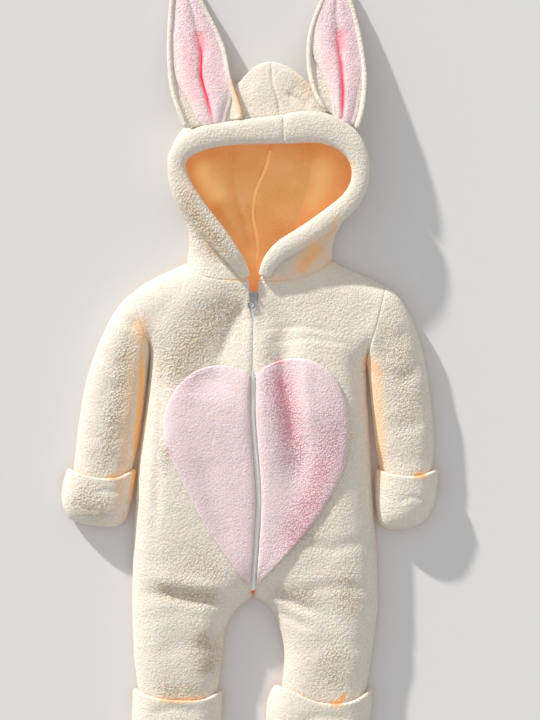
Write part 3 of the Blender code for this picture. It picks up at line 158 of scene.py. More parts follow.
# Creases in the upper side of the suit: points (x, y), half width, depth (below 0 a ridge)
CREASES = [
    ([(-3, 83), (-12, 71), (-27, 39), (-38, 9)], 7, 2.0),  # left chest
    ([(1, 91), (-22, 55), (-43, 5), (-55, -39)], 32, 6.0),
    ([(-30, 101), (-74, 86), (-105, 49), (-117, -1)], 16, -1.5),
    ([(23, 86), (45, 49), (42, 11), (51, -39), (58, -101), (60, -164)], 18, 7.0),  # right chest
    ([(38, 21), (43, -14), (52, -57), (58, -101)], 6, 1.8),
    ([(66, 5), (70, -32), (76, -76)], 9, -1.8),
    ([(16, 49), (63, 54), (113, 45)], 4, 0.8),
    ([(23, 33), (76, 39), (128, 30)], 4, 0.7),
    ([(-105, 36), (-112, -101), (-117, -214)], 6, 1.2),  # sides
    ([(-117, 49), (-124, -101), (-129, -239)], 8, -1.0),
    ([(126, 36), (141, -39), (146, -126)], 8, 1.4),
    ([(63, -214), (103, -224), (146, -214)], 9, 1.8),
    ([(-62, -107), (-44, -164), (-22, -224)], 14, 2.2),  # belly
    ([(-117, -276), (-74, -289), (-23, -292)], 6, 2.5),  # left leg
    ([(-124, -257), (-80, -267), (-30, -270)], 8, -1.4),
    ([(-133, -314), (-93, -304), (-43, -311)], 9, 0.8),
    ([(-124, -357), (-74, -342), (-34, -349)], 11, 1.0),
    ([(-124, -429), (-93, -421), (-62, -429)], 7, 1.4),
    ([(17, -267), (51, -289), (83, -304)], 6, 2.8),  # right leg
    ([(11, -289), (38, -304), (78, -324)], 6, 1.8),
    ([(63, -276), (113, -269), (153, -276)], 8, 1.6),
    ([(51, -357), (101, -340), (151, -351)], 11, 0.9),
    ([(58, -441), (88, -432), (126, -436)], 7, 1.4),
    ([(-187, -32), (-155, -20), (-133, -29)], 9, 0.7),  # left sleeve
    ([(-202, -76), (-174, -89), (-147, -80)], 10, 0.6),
    ([(-207, 24), (-180, 16), (-155, -4)], 12, 2.0),
    ([(-174, 74), (-157, 59), (-137, 54)], 8, 1.6),
    ([(-192, -154), (-177, -151), (-163, -156)], 4, 1.2),
    ([(-219, -164), (-207, -174), (-192, -176)], 5, 1.0),
    ([(161, 1), (188, -11), (213, -4)], 8, 1.1),  # right sleeve
    ([(168, -64), (195, -74), (223, -64)], 9, 0.9),
    ([(180, 49), (203, 30), (220, -1)], 10, 1.8),
    ([(173, -101), (188, -116), (226, -111)], 9, 0.8),
    ([(186, -164), (203, -159), (221, -164)], 4, 1.0),
    ([(166, -151), (178, -164), (186, -181)], 5, 0.9),
    ([(27, 381), (28, 360), (30, 351), (36, 334), (40, 314)], 1.8, 1.4),  # crown
    ([(45, 344), (61, 335), (77, 324)], 4, 2.4),
    ([(51, 354), (67, 344), (80, 331)], 9, 1.8),
    ([(1, 368), (-4, 343), (1, 318)], 9, 1.0),
    ([(-63, 171), (-47, 149), (-32, 126)], 5, 2.0),  # neck
    ([(-92, 180), (-84, 155), (-67, 134)], 7, 1.2),
    ([(101, 171), (86, 151), (63, 134)], 7, 2.2),
    ([(-58, 406), (-59, 394), (-60, 364), (-53, 339), (-45, 311)], 3.2, 3.0),  # ears
    ([(-62, 424), (-58, 404), (-59, 390)], 9, 1.8),
    ([(113, 409), (113, 394), (116, 361), (116, 326), (115, 311)], 3.2, 3.0),
    ([(115, 427), (113, 406), (113, 392)], 9, 1.8),
]

# Creases in the underside, where the cloth lifts a little off the table
UNDER_CREASES = [
    ([(-120, -60), (-70, -66), (-24, -58)], 6, 1.4),
    ([(-130, -180), (-84, -172), (-40, -184)], 8, 1.2),
    ([(-126, -290), (-82, -298), (-40, -292)], 6, 1.6),
    ([(-118, -352), (-80, -344), (-46, -350)], 8, 1.3),
    ([(-70, 96), (-58, 60), (-52, 20)], 9, 1.5),
    ([(24, -30), (78, -42), (132, -34)], 7, 1.4),
    ([(34, -150), (90, -142), (140, -156)], 8, 1.2),
    ([(50, -296), (92, -306), (140, -300)], 6, 1.6),
    ([(56, -356), (96, -348), (136, -354)], 9, 1.3),
    ([(84, 98), (74, 60), (70, 16)], 9, 1.5),
    ([(-206, -20), (-178, -30), (-150, -22)], 6, 1.3),
    ([(-208, -92), (-184, -98), (-156, -90)], 7, 1.1),
    ([(166, -14), (192, -26), (216, -18)], 6, 1.3),
    ([(174, -88), (198, -96), (224, -88)], 7, 1.1),
    ([(-64, 196), (-40, 214), (-22, 240)], 8, 1.5),
    ([(88, 196), (66, 216), (50, 244)], 8, 1.5),
]

# Folds in the inside of the hood, as heights over the cloth
INNER_FOLDS = [
    ([(-17, 271), (-19, 241), (-14, 211), (-4, 184), (1, 155)], 4, 3.0),
    ([(-45, 264), (-43, 230), (-34, 199), (-17, 171)], 6, 2.6),
    ([(-30, 268), (-32, 230), (-23, 196)], 6, -1.5),
    ([(82, 274), (75, 230), (63, 193), (53, 171)], 4, 3.4),
    ([(107, 255), (95, 224), (78, 196)], 7, 1.8),
    ([(63, 271), (58, 224), (43, 174)], 9, -1.2),
]
HOOD_SEAM = [(26, 275), (21, 250), (11, 235), (5, 214), (3, 188), (11, 164), (10, 148), (9, 137)]
HOOD_SEAM_RADIUS = 2.1
HOOD_SEAM_SIDES = (-4, 0, 4)  # it rests on the highest of these places beside its line
HOOD_SEAM_LIFT = 0.6
HOOD_SEAM_PAINTED_GLOW = 0.35  # painted glow of its binding
CROWN_SEAM = [(26.5, 385), (27.6, 376), (30.1, 358), (32.6, 340), (34.3, 328), (36.4, 314)]
RIM_SEAM = [(42.1, 316), (42.1, 310), (42.1, 302), (42.1, 294), (42.1, 286), (42.1, 279)]
ZIP_COVER = [(4.6, 2), (4.6, 30), (4.8, 58)]
CLOSED_SEAMS = {  # where the pile closes: line, reach, and how far the cloth is drawn to it
    "hood_left": (CROWN_SEAM, 5, 1.4),
    "hood_right": (CROWN_SEAM, 5, -1.4),
    "hood_rim_left": (RIM_SEAM, 5, 1.4),
    "hood_rim_right": (RIM_SEAM, 5, -1.4),
    "front_left": (ZIP_COVER, 14, 3.4),
    "front_right": (ZIP_COVER, 14, -3.4),
}
SEAM_LEVEL = 25.0  # lower layers of the cloth are left alone
FACING_SIZE = (74, 50)  # facing inside the back of the neck
FACING_MIDDLE = (9, 116, 5.6)
FACING_THICK = 3.0
FACING_WAVE = 0.5  # height and size of its waves
FACING_WAVE_SIZE = 14.0

# Painted glow and lighter painted colour inside the hood: points, half width, strength
PAINTED_GLOW_PLACES = [
    ([(-67, 261), (-52, 236), (-37, 205)], 14, 0.5),
    ([(96, 271), (87, 230), (72, 193)], 14, 0.3),
    ([(0, 158), (6, 136), (8, 116), (8, 92)], 20, 0.2),
]

# Where the pink of the ears fades into the cream
FADING_PLACES = [
    ([(-98, 470), (-97, 420), (-95, 386), (-85, 352), (-70, 326), (-52, 300)], 7, 0.55),
    ([(-20, 350), (-26, 330), (-30, 300)], 5, 0.6),
    ([(80, 470), (80, 420), (84, 386), (95, 352), (105, 326), (112, 300)], 8, 0.65),
    ([(142, 350), (139, 330), (132, 300)], 5, 0.6),
]

# Where the cream turns a little pink, along the edges of the ears
BLUSHING_PLACES = [
    ([(-98, 470), (-99, 420), (-97, 386), (-90, 352), (-84, 330)], 7, 0.6),
    ([(-56, 452), (-40, 410), (-31, 380), (-25, 350)], 6, 0.5),
    ([(80, 470), (78, 420), (80, 390), (86, 360)], 7, 0.6),
    ([(128, 452), (138, 410), (142, 380), (143, 350)], 6, 0.5),
]

# Where the pile is ruffled, with higher curls and more painted shade in its hollows
RUFFLED_AND_SHADED_PLACES = [
    ([(-10, 92), (-17, 86), (-43, 61), (-68, 36), (-87, 5), (-102, -26)], 24, 1.0),
    ([(-87, 224), (-68, 193), (-43, 161), (-18, 134)], 12, 1.0),  # rim
    ([(-20, 255), (20, 262), (60, 262)], 7, 0.4),
    ([(-80, -230), (-50, -250), (-30, -262)], 18, 0.4),  # belly
    ([(-118, -268), (-80, -280), (-36, -288)], 14, 0.85),  # legs
    ([(-66, -325), (-52, -350), (-54, -385)], 15, 0.8),
    ([(-115, -396), (-90, -402), (-58, -398)], 9, 0.7),
    ([(24, -276), (50, -284), (84, -282)], 12, 0.6),
    ([(108, -255), (126, -280), (122, -312)], 15, 0.6),
    ([(116, -340), (104, -370), (108, -402)], 17, 0.6),
    ([(-146, 50), (-155, 11), (-162, -39), (-172, -89), (-182, -136)], 11, 0.9),  # sleeves
    ([(-216, -150), (-198, -170), (-172, -176)], 15, 0.7),
    ([(175, 60), (190, 0), (205, -90)], 18, 0.5),
    ([(30, 8), (37, -10), (42, -39), (53, -89), (63, -139)], 17, 1.0),  # heart
    ([(107, -40), (100, -100), (70, -190), (40, -235)], 22, 0.7),
    ([(-104, -94), (-103, -110), (-106, -126)], 7, 0.7),
    ([(-70, 480), (-66, 400), (-50, 310)], 26, 0.45),  # ears
    ([(108, 480), (112, 400), (114, 310)], 26, 0.45),
]

# Painted warm shade and glow on the cream, in creases, armholes, slits and deep folds
PAINTED_WARM_SHADE_PLACES = [
    ([(-137, 66), (-135, 48), (-132, 28)], 9, 0.45),  # armholes
    ([(-140, 40), (-144, 11), (-149, -39), (-155, -89), (-160, -139), (-162, -189)], 7, 0.3),
    ([(-132, 40), (-134, 11), (-137, -39), (-142, -89), (-146, -139), (-152, -180)], 3.5, 0.9),
    ([(146, 16), (156, 3), (164, -14)], 8, 0.5),
    ([(157, 10), (159, -20), (161, -51), (163, -101), (163, -150)], 9, 0.42),
    ([(-27, 366), (-17, 339), (-9, 309)], 4, 0.4),  # hood
    ([(92, 160), (80, 146), (66, 128), (60, 116)], 11, 0.62),
    ([(66, 122), (45, 114), (20, 110)], 5, 0.28),
    ([(106, 150), (92, 140), (78, 128)], 16, 0.25),
    ([(111, 193), (102, 171), (91, 158)], 4, 0.4),
    ([(-35, 110), (-18, 111), (0, 113)], 2.5, 0.35),
    ([(-55, 161), (-47, 149), (-39, 139)], 2.5, 0.35),
    ([(56, 370), (71, 351), (77, 331)], 8, 0.12),
    ([(-86, 262), (-83, 236), (-73, 205), (-54, 173), (-30, 140)], 7, 0.1),  # rim
    ([(128, 262), (124, 240), (110, 214)], 6, 0.25),
    ([(-117, -412), (-87, -413), (-55, -410)], 2.4, 0.55),  # slits of the feet
    ([(100, -417), (113, -416), (119, -403)], 3, 0.9),
    ([(-177, -135), (-170, -135), (-164, -136)], 3, 0.8),  # and of the mitts
    ([(203, -134), (212, -132), (221, -134)], 3, 0.8),
    ([(-2, -285), (3, -287), (8, -286)], 4, 0.5),  # crotch
]

# Painted shade and glow on the pink, in the creases of the ears and along the edge and folds of the
# heart
PAINTED_ROSY_SHADE_PLACES = [
    ([(-58, 408), (-59, 394), (-60, 379), (-60, 364), (-57, 351), (-53, 339), (-45, 308)],
     2.3, 1.0),
    ([(-64, 424), (-60, 406), (-59, 390)], 7, 0.4),
    ([(-76, 409), (-74, 361), (-66, 321)], 12, 0.12),
    ([(96, 400), (97, 361), (104, 321)], 9, 0.08),
    ([(-62, 440), (-60, 400), (-46, 340)], 22, 0.05),
    ([(112, 440), (116, 400), (118, 340)], 22, 0.05),
    ([(113, 411), (113, 394), (115, 378), (116, 361), (117, 344), (116, 326), (115, 308)],
     2.3, 1.0),
    ([(115, 426), (113, 409), (113, 394)], 7, 0.4),
    ([(-112, -79), (-108, -51), (-99, -29), (-87, -11), (-72, 1), (-57, 9)], 1.8, 0.45),
    ([(31, 6), (38, 9), (46, 9)], 3.5, 0.25),
    ([(38, 4), (41, -20), (48, -51), (56, -101)], 12, 0.13),
    ([(101, -89), (86, -139), (63, -189), (38, -234)], 16, 0.08),
    ([(-104, -98), (-103, -110), (-106, -122)], 5, 0.15),
]

# Zip
ZIP_LINE = [  # x, y from the crotch to the slider
    (4.6, -278), (6.5, -250.8), (8.4, -225.8), (12.1, -165.8), (10.5, -133.8), (7.1, -95.8),
    (4.1, -56.8), (4.6, -16.8), (4.6, 54.2), (5.6, 90.0),
]
TOOTH_PITCH = 1.25
TEETH_BARE = 5.0  # y under which the pile leaves the teeth bare
TEETH_RISE = 1.6  # and the teeth stand higher
TEETH_FADE = 15.0  # length over which they rise
TAPE_END = 97.0  # y where the tapes end, above the slider
TOOTH_LENGTH = 3.7
TOOTH_WIDTH = 0.95
TOOTH_HEIGHT = 1.3
TOOTH_BEVEL = 0.3
TOOTH_SINK = 0.35  # share of its height that a tooth sits under the coil's surface
TOOTH_SHIFT = 0.95  # how far the teeth of each side reach over the middle
TAPE_MESH = 6.4
TAPE_ROUNDS = 4
TAPE_WAVE = 0.12  # height and size of its waves
TAPE_WAVE_SIZE = 7.0
HINGE = (5.72, 94.2, 36.06)
PULL_LEAN = math.radians(11)
PULL_RING = 4.9  # radius of the pull's ring, and of its hole
PULL_HOLE = 2.9
PULL_LENGTH = 20.0
PULL_STRAP = 2.1  # half width of the strap
PULL_STRAP_ENDS = (-5.0, -8.2)  # how far it runs straight
PULL_EYE = 2.2  # half width of the eye round the bail
PULL_THICK = 1.4
SLIDER_PLATE = [  # half width, y of the slider's plate, from its tail to its nose
    (2.6, 85.4), (3.0, 86.6), (3.3, 90.0), (4.0, 93.4), (4.1, 95.2), (3.4, 96.4), (1.2, 96.0),
]
SLIDER_BOTTOM = 31.8
SLIDER_TOP = 34.9
SLIDER_PLATE_THICK = 1.1
SLIDER_POST_Y = 93.0
SLIDER_POST_RADIUS = 1.4
BAIL = [(97.2, 34.6), (97.0, 37.0), (95.4, 38.3), (92.6, 38.3), (90.6, 37.0), (89.6, 34.6)]
BAIL_RADIUS = 0.75
ROUND_EDGE = 0.22  # radius of the rounded edges of the metal

# Studio
CAMERA_X, CAMERA_Y = 25.85, 11.45  # what the middle of the photograph looks at
CAMERA_HEIGHT = 3.0
FRAME_HEIGHT = 0.900  # metres from the top to the bottom of the photograph
FRAME_LEVEL = 0.022  # height over the floor at which that holds
SENSOR = 36.0
FLOOR_HALF = 15  # metres
FLOOR_DROP = 0.0002
SUN_POWER = 4.0
SUN_DISTANCE = 3
SUN_SOFTNESS = 2.2  # degrees
SUN_RISE = 16.6  # degrees over the floor
SUN_TURN = 127.0  # degrees from +X towards +Y
SUN_COLOUR = (1.0, 0.985, 0.955)
SKY_LOW, SKY_HIGH = 0.42, 0.72
SKY_COLOUR = (0.97, 0.98, 1.0)


def length_property(name, description, default, least, most):
    """A length in metres that the user can change."""
    return FloatProperty(
        name=name, description=description, default=default, min=least, max=most, unit="LENGTH")


class SuitSizes(bpy.types.PropertyGroup):
    """Sizes that change how the fleece looks."""

    curl: length_property("Curl", "Distance between the curls of the pile", 0.0028, 0.001, 0.01)
    pile: length_property("Pile", "Height of the curls over the cloth", 0.0012, 0.0, 0.004)
    short_pile: length_property(
        "Short pile", "Height of the pile on the heart and in the ears", 0.0008, 0.0, 0.004)
    top_mesh: length_property(
        "Fine mesh", "Longest edge of the mesh where the suit shows", 0.0021, 0.001, 0.01)
    under_mesh: length_property(
        "Coarse mesh", "Longest edge of the mesh on the underside", 0.0040, 0.001, 0.02)


def linear(colour):
    """The linear red, green and blue of an sRGB hex colour."""
    parts = [int(colour[k:k + 2], 16) / 255 for k in (1, 3, 5)]
    return [p / 12.92 if p <= 0.04045 else ((p + 0.055) / 1.055) ** 2.4 for p in parts]


def colour_property(name, description, colour):
    """A colour that the user can change, from its hex value."""
    return FloatVectorProperty(
        name=name, description=description, subtype="COLOR", size=3, min=0, max=1,
        default=linear(colour))


class SuitColours(bpy.types.PropertyGroup):
    """Colours of the cloth, the zip and the floor."""

    cream: colour_property("Cream", "Tips of the cream pile", "#E9E2D5")
    # painted shade between the curls of the cream
    cream_hollow_shade: colour_property("Cream depth", "Between the curls of the cream pile", "#C9B69B")
    # painted warm shade of the cream, also the colour of its painted glow
    painted_shade_glow: colour_property("Warm shade", "Cream cloth where the pile parts", "#E5A04A")
    # orange of the backing, which also stands in for the warm shade inside the hood
    backing_and_warm_shade: colour_property("Backing", "Brushed inside of the hood", "#F4BE80")
    # painted shade between the loops of the backing
    backing_hollow_shade: colour_property("Backing depth", "Between the loops of the inside", "#E8A560")
    # painted glow inside the hood
    painted_glow: colour_property("Glow", "Inside of the hood where light soaks through", "#FCDB97")
    pink: colour_property("Pink", "Tips of the pink pile", "#EEDCDB")
    # painted shade between the curls of the pink
    pink_hollow_shade: colour_property("Pink depth", "Between the curls of the pink pile", "#CFA0AB")
    # painted shade deep in the creases, also the colour of the pink's painted glow
    crease_shade: colour_property("Crease", "Deep in the crease of each ear", "#FF2E5C")
    tape: colour_property("Tape", "Woven tape of the zip", "#F4F4F2")
    coil: colour_property("Coil", "Nylon coil of the zip", "#EEF0F0")
    nickel: colour_property("Nickel", "Plated slider and pull", "#A2A3A7")
    floor: colour_property("Floor", "Pale floor", "#DDDCDB")


# ---------------------------------------------------------------- small mathematics

HASH_AXES = (73856093, 19349663, 83492791)  # usual primes for a hash of a grid
HASH_SALT = 2654435761
HASH_ROUNDS = ((15, 2246822519), (13, 3266489917))
CURL_REACH = 0.75  # squared distance, in curls, at which a curl ends
FADE_SHARE = 0.22  # share of a stroke's length over which each end fades
FADE_START = 0.15  # what is left of it at the very end


def hashed(cells, salt):
    """Numbers from 0 to 1 that depend only on rows of whole numbers and on the salt."""
    mixed = salt * HASH_SALT
    for axis, prime in enumerate(HASH_AXES):
        mixed = mixed ^ cells[:, axis] * prime
    mixed = mixed & 0xFFFFFFFF
    for shift, factor in HASH_ROUNDS:
        mixed = ((mixed ^ (mixed >> shift)) * factor) & 0xFFFFFFFF
    return ((mixed ^ (mixed >> 16)) & 0xFFFFFF) / 0xFFFFFF


def lumps(points, size, salt):
    """Smooth noise from -1 to 1 whose lumps are about the given size."""
    scaled = points / size
    base = np.floor(scaled).astype(np.int64)
    part = scaled - base
    part = part * part * (3 - 2 * part)
    total = np.zeros(len(points))
    for corner in itertools.product((0, 1), repeat=3):
        weight = np.ones(len(points))
        for axis, far in enumerate(corner):
            weight *= part[:, axis] if far else 1 - part[:, axis]
        total += weight * hashed(base + corner, salt)
    return 2 * total - 1


def curls(points, size, salt):
    """1 in the middle of each curl and 0 where curls meet, for curls about one size apart."""
    scaled = points / size
    base = np.floor(scaled).astype(np.int64)
    nearest = np.full(len(points), 9.0)
    for step in itertools.product((-1, 0, 1), repeat=3):
        cell = base + step
        gap = np.zeros(len(points))
        for axis in range(3):
            middle = cell[:, axis] + hashed(cell, salt + axis)
            gap += (scaled[:, axis] - middle) ** 2
        nearest = np.minimum(nearest, gap)
    return np.clip(1 - nearest / CURL_REACH, 0, 1)


def along_path(points, path):
    """Distance in plan to a path, and how far along it (0 to 1) the nearest place is."""
    path = np.array(path, float)
    steps = np.linalg.norm(np.diff(path, axis=0), axis=1)
    start = np.concatenate([[0], np.cumsum(steps)])
    best = np.full(len(points), np.inf)
    where = np.zeros(len(points))
    for a, b, length, before in zip(path[:-1], path[1:], steps, start):
        part = np.clip(((points[:, :2] - a) @ (b - a)) / length ** 2, 0, 1)
        gap = np.linalg.norm(points[:, :2] - (a + part[:, None] * (b - a)), axis=1)
        closer = gap < best
        best = np.where(closer, gap, best)
        where = np.where(closer, (before + part * length) / start[-1], where)
    return best, where


def soft_stroke(points, path, half_width):
    """1 along a path, fading to 0 at its sides and towards its two ends."""
    gap, where = along_path(points, path)
    ends = np.clip(np.minimum(where, 1 - where) / FADE_SHARE + FADE_START, 0, 1)
    return np.exp(-((gap / half_width) ** 2)) * ends


# ---------------------------------------------------------------- shader building

def set_inputs(node, inputs):
    """Links the sockets that are given to the inputs of a node, and writes other values there."""
    for name, value in inputs.items():
        if isinstance(value, bpy.types.NodeSocket):
            node.id_data.links.new(value, node.inputs[name])
        else:
            node.inputs[name].default_value = value


def add_node(tree, kind, inputs=None, **settings):
    """Adds a node with its settings and its inputs."""
    node = tree.nodes.new(kind)
    for name, value in settings.items():
        setattr(node, name, value)
    set_inputs(node, inputs or {})
    return node


def add_noise(tree, coords, scale, detail=2):
    """A texture of smooth noise."""
    return add_node(tree, "ShaderNodeTexNoise",
                    {"Vector": coords, "Scale": scale, "Detail": detail})


def add_maths(tree, operation, *terms, clamp=False):
    """The result of arithmetic with numbers or sockets."""
    return add_node(tree, "ShaderNodeMath", dict(enumerate(terms)),
                    operation=operation, use_clamp=clamp).outputs[0]


def add_range(tree, value, low=0.0, high=1.0, to_low=0.0, to_high=1.0):
    """A value between low and high, spread over another range."""
    return add_node(tree, "ShaderNodeMapRange", {
        "Value": value, "From Min": low, "From Max": high, "To Min": to_low, "To Max": to_high,
    }).outputs[0]


def add_mix(tree, share, first, second):
    """The first colour, which turns into the second as the share grows."""
    return add_node(tree, "ShaderNodeMix", {0: share, 6: first, 7: second},
                    data_type="RGBA").outputs[2]


def add_mark(tree, name):
    """What the mesh keeps under a name for each point."""
    return add_node(tree, "ShaderNodeAttribute", attribute_name=name).outputs["Fac"]


def add_relief(tree, height, strength, distance):
    """Relief that isn't in the mesh, with its distance in metres."""
    return add_node(tree, "ShaderNodeBump", {
        "Height": height, "Strength": strength, "Distance": distance}).outputs[0]


def new_material(name):
    """A new material with its node tree, its Principled shader and the coordinates of the piece."""
    made = bpy.data.materials.new(name)
    made.use_nodes = True
    tree = made.node_tree
    coords = add_node(tree, "ShaderNodeTexCoord").outputs["Object"]
    return made, tree, tree.nodes["Principled BSDF"], coords


def rgba(colour, brightness=1.0):
    """A colour with full alpha."""
    return (*[part * brightness for part in colour[:3]], 1)


def curl_pattern(tree, coords, curl):
    """The stirred coordinates of the pile, and how far each point is from the nearest curl."""
    stir = add_noise(tree, coords, scale=160).outputs["Color"]
    drift = add_node(tree, "ShaderNodeVectorMath", {0: stir, "Scale": CURL_DRIFT},
                     operation="SCALE").outputs[0]
    stirred = add_node(tree, "ShaderNodeVectorMath", {0: coords, 1: drift},
                       operation="ADD").outputs[0]
    knobs = add_node(tree, "ShaderNodeTexVoronoi", {
        "Vector": stirred, "Scale": 1 / curl, "Smoothness": 0.35, "Randomness": 1,
    }, feature="SMOOTH_F1")
    return stirred, knobs.outputs["Distance"]


def fleece_material(name, tip, deep, painted_shade_glow, curl, bump, edge):
    """Sherpa fleece: knitted polyester pile, tumbled into curls.

    Its curls catch light on their tips, and the hollows between them get painted shade, above
    all where the pile is ruffled and shaded. Where it is marked, it takes a painted warm shade
    and a faint painted glow, and where it fades, it takes the colour of the edge. The fibres give a
    soft sheen, not a highlight."""
    made, tree, shader, coords = new_material(name)
    stirred, knobs = curl_pattern(tree, coords, curl)
    # the ruffled mark raises the relief and deepens the painted shade of the hollows
    open_pile = add_range(tree, add_mark(tree, "ruffled_and_shaded"), to_low=0.25)
    # painted shade in the hollows between the curls
    hollow_shade = add_maths(tree, "MULTIPLY", open_pile, add_range(tree, knobs, low=0.2, high=0.65))
    mottle = add_range(tree, add_noise(tree, coords, scale=45, detail=3).outputs["Fac"],
                       low=0.3, high=0.7, to_low=0.75, to_high=1.15)
    shaded = add_maths(tree, "MULTIPLY", hollow_shade, mottle, clamp=True)
    # painted warm shade in the colour, and painted glow in the emission, where marked
    shade_glow_mark = add_mark(tree, "painted_shade_glow")
    colour = add_mix(tree, shaded, rgba(tip), rgba(deep))
    colour = add_mix(tree, shade_glow_mark, colour, rgba(painted_shade_glow))
    colour = add_mix(tree, add_mark(tree, "fade"), colour, rgba(edge))
    fibres = add_noise(tree, stirred, scale=700, detail=3).outputs["Fac"]
    height = add_maths(tree, "MULTIPLY_ADD", knobs, -KNOB_RELIEF, fibres)
    height = add_maths(tree, "MULTIPLY", open_pile, height)
    set_inputs(shader, {
        "Base Color": colour,
        "Emission Color": rgba(painted_shade_glow),
        "Emission Strength": add_maths(tree, "MULTIPLY", shade_glow_mark, PAINTED_GLOW_STRENGTH),
        "Normal": add_relief(tree, height, bump, PILE_RELIEF),
        "Roughness": 0.92,
        "Specular IOR Level": 0.15,
        "Sheen Weight": 0.2,
        "Sheen Roughness": 0.5,
        "Subsurface Weight": 0.35,
        "Subsurface Scale": 0.003,
        "Subsurface Radius": (1.0, 0.8, 0.55),
    })
    return made


def backing_material(colours):
    """Brushed knit backing: fine loops raised a little, with a short dull nap.

    It glows everywhere with painted light, more where marked, so that the inside of the hood is
    never dark; its orange also stands in for the warm shade there, and the hollows between its
    loops get painted shade."""
    made, tree, shader, coords = new_material("brushed_knit_backing")
    nap = add_noise(tree, coords, scale=420, detail=4).outputs["Fac"]
    cloud = add_noise(tree, coords, scale=22).outputs["Fac"]
    loops = add_maths(tree, "MULTIPLY_ADD", nap, 0.6, cloud)
    raised = add_range(tree, loops, low=0.55, high=1.05)
    painted_glow = add_mark(tree, "painted_glow")
    colour = add_mix(tree, raised, rgba(colours.backing_hollow_shade), rgba(colours.backing_and_warm_shade))
    colour = add_mix(tree, painted_glow, colour, rgba(colours.painted_glow))
    set_inputs(shader, {
        "Base Color": colour,
        "Emission Color": colour,
        # painted glow everywhere inside, stronger where marked
        "Emission Strength": add_range(tree, painted_glow, to_low=0.14, to_high=0.42),
        "Normal": add_relief(tree, nap, 0.35, 0.0006),
        "Roughness": 0.9,
        "Specular IOR Level": 0.2,
        "Sheen Weight": 0.2,
    })
    return made


def tape_material(colours):
    """Woven polyester tape: a fine twill whose ribs run along the zip.

    The hollows of the weave get painted shade, darker than its ribs, and the tape has almost no
    gloss."""
    made, tree, shader, coords = new_material("woven_polyester_tape")
    ribs, picks = [
        add_node(tree, "ShaderNodeTexWave", {"Vector": coords, "Scale": scale, "Distortion": 0.4},
                 bands_direction=way).outputs["Fac"]
        for way, scale in (("X", 160), ("Y", 260))]
    weave = add_maths(tree, "MULTIPLY_ADD", picks, 0.5, ribs)
    # painted shade in the hollows of the weave
    hollow_shade = add_range(tree, weave, high=1.5, to_low=0.35, to_high=0)
    set_inputs(shader, {
        "Base Color": add_mix(tree, hollow_shade, rgba(colours.tape), rgba(colours.tape, 0.6)),
        "Normal": add_relief(tree, weave, 0.4, 0.0002),
        "Roughness": 0.75,
    })
    return made


def nylon_material(colours):
    """Extruded nylon coil: smooth and a little cloudy, with a soft gloss.

    It glows faintly with painted light, which lifts the shade of its groove."""
    made, tree, shader, coords = new_material("extruded_nylon")
    cloud = add_noise(tree, coords, scale=300).outputs["Fac"]
    colour = add_mix(tree, cloud, rgba(colours.coil), rgba(colours.coil, 0.8))
    set_inputs(shader, {
        "Base Color": colour,
        "Emission Color": colour,
        # painted glow
        "Emission Strength": 0.16,
        "Roughness": 0.38,
    })
    return made


def nickel_material(colours):
    """Nickel plate on cast zinc: bright, with a little polishing haze and fine scratches."""
    made, tree, shader, coords = new_material("nickel_plated_zinc")
    haze = add_noise(tree, coords, scale=700, detail=3).outputs["Fac"]
    set_inputs(shader, {
        "Base Color": rgba(colours.nickel),
        "Metallic": 1,
        "Roughness": add_range(tree, haze, to_low=0.07, to_high=0.2),
        "Normal": add_relief(tree, haze, 0.08, 0.0001),
    })
    return made


def floor_material(colours):
    """Matt painted board: even, with a trace of roller texture that softens its light."""
    made, tree, shader, coords = new_material("matt_painted_board")
    grain = add_noise(tree, coords, scale=500).outputs["Fac"]
    set_inputs(shader, {
        "Base Color": rgba(colours.floor),
        "Normal": add_relief(tree, grain, 0.05, 0.0003),
        "Roughness": 0.85,
        "Specular IOR Level": 0.2,
    })
    return made


def kept(name, make):
    """The material of that name, made the first time that a piece asks for it."""
    return bpy.data.materials.get(name) or make()


def kept_backing(context):
    """The one material of all insides."""
    return kept("brushed_knit_backing", lambda: backing_material(context.scene.suit_colours))


# ---------------------------------------------------------------- meshes

def merged_copy(node):
    """A bmesh of a CAD node with its doubled corners merged and its triangles paired."""
    mesh = bmesh.new()
    mesh.from_mesh(frame["nodes"][node].data)
    bmesh.ops.remove_doubles(mesh, verts=mesh.verts, dist=0.01 * MM)
    bmesh.ops.join_triangles(
        mesh, faces=mesh.faces, angle_face_threshold=1.2, angle_shape_threshold=2.0)
    return mesh


def add_object(name, data):
    """An object in the scene for a mesh, curve, light or camera."""
    made = bpy.data.objects.new(name, data)
    bpy.context.scene.collection.objects.link(made)
    return made


def add_piece(name, mesh, *materials):
    """Makes an object at the origin from a bmesh, with its materials."""
    data = bpy.data.meshes.new(name)
    mesh.to_mesh(data)
    mesh.free()
    for material in materials:
        data.materials.append(material)
    return add_object(name, data)


def keep_corners(mesh):
    """Marks the edges of the cloth, so that rounding leaves them where the seams are."""
    firm = mesh.edges.layers.float.new("crease_edge")
    for edge in mesh.edges:
        if len(edge.link_faces) == 2 and edge.calc_face_angle(0) > CORNER_ANGLE:
            edge[firm] = CORNER_FIRMNESS


def evaluated_mesh(source):
    """A bmesh of an object as its modifiers leave it; the object itself goes."""
    found = source.evaluated_get(bpy.context.evaluated_depsgraph_get())
    mesh = bmesh.new()
    mesh.from_mesh(found.to_mesh())
    found.to_mesh_clear()
    bpy.data.objects.remove(source, do_unlink=True)
    return mesh


def rounded_copy(node):
    """A bmesh of a CAD node, rounded by Catmull-Clark subdivision."""
    mesh = merged_copy(node)
    keep_corners(mesh)
    rough = add_piece("rough", mesh)
    smooth = rough.modifiers.new("round", "SUBSURF")
    smooth.levels = smooth.render_levels = ROUNDING_LEVELS
    return evaluated_mesh(rough)


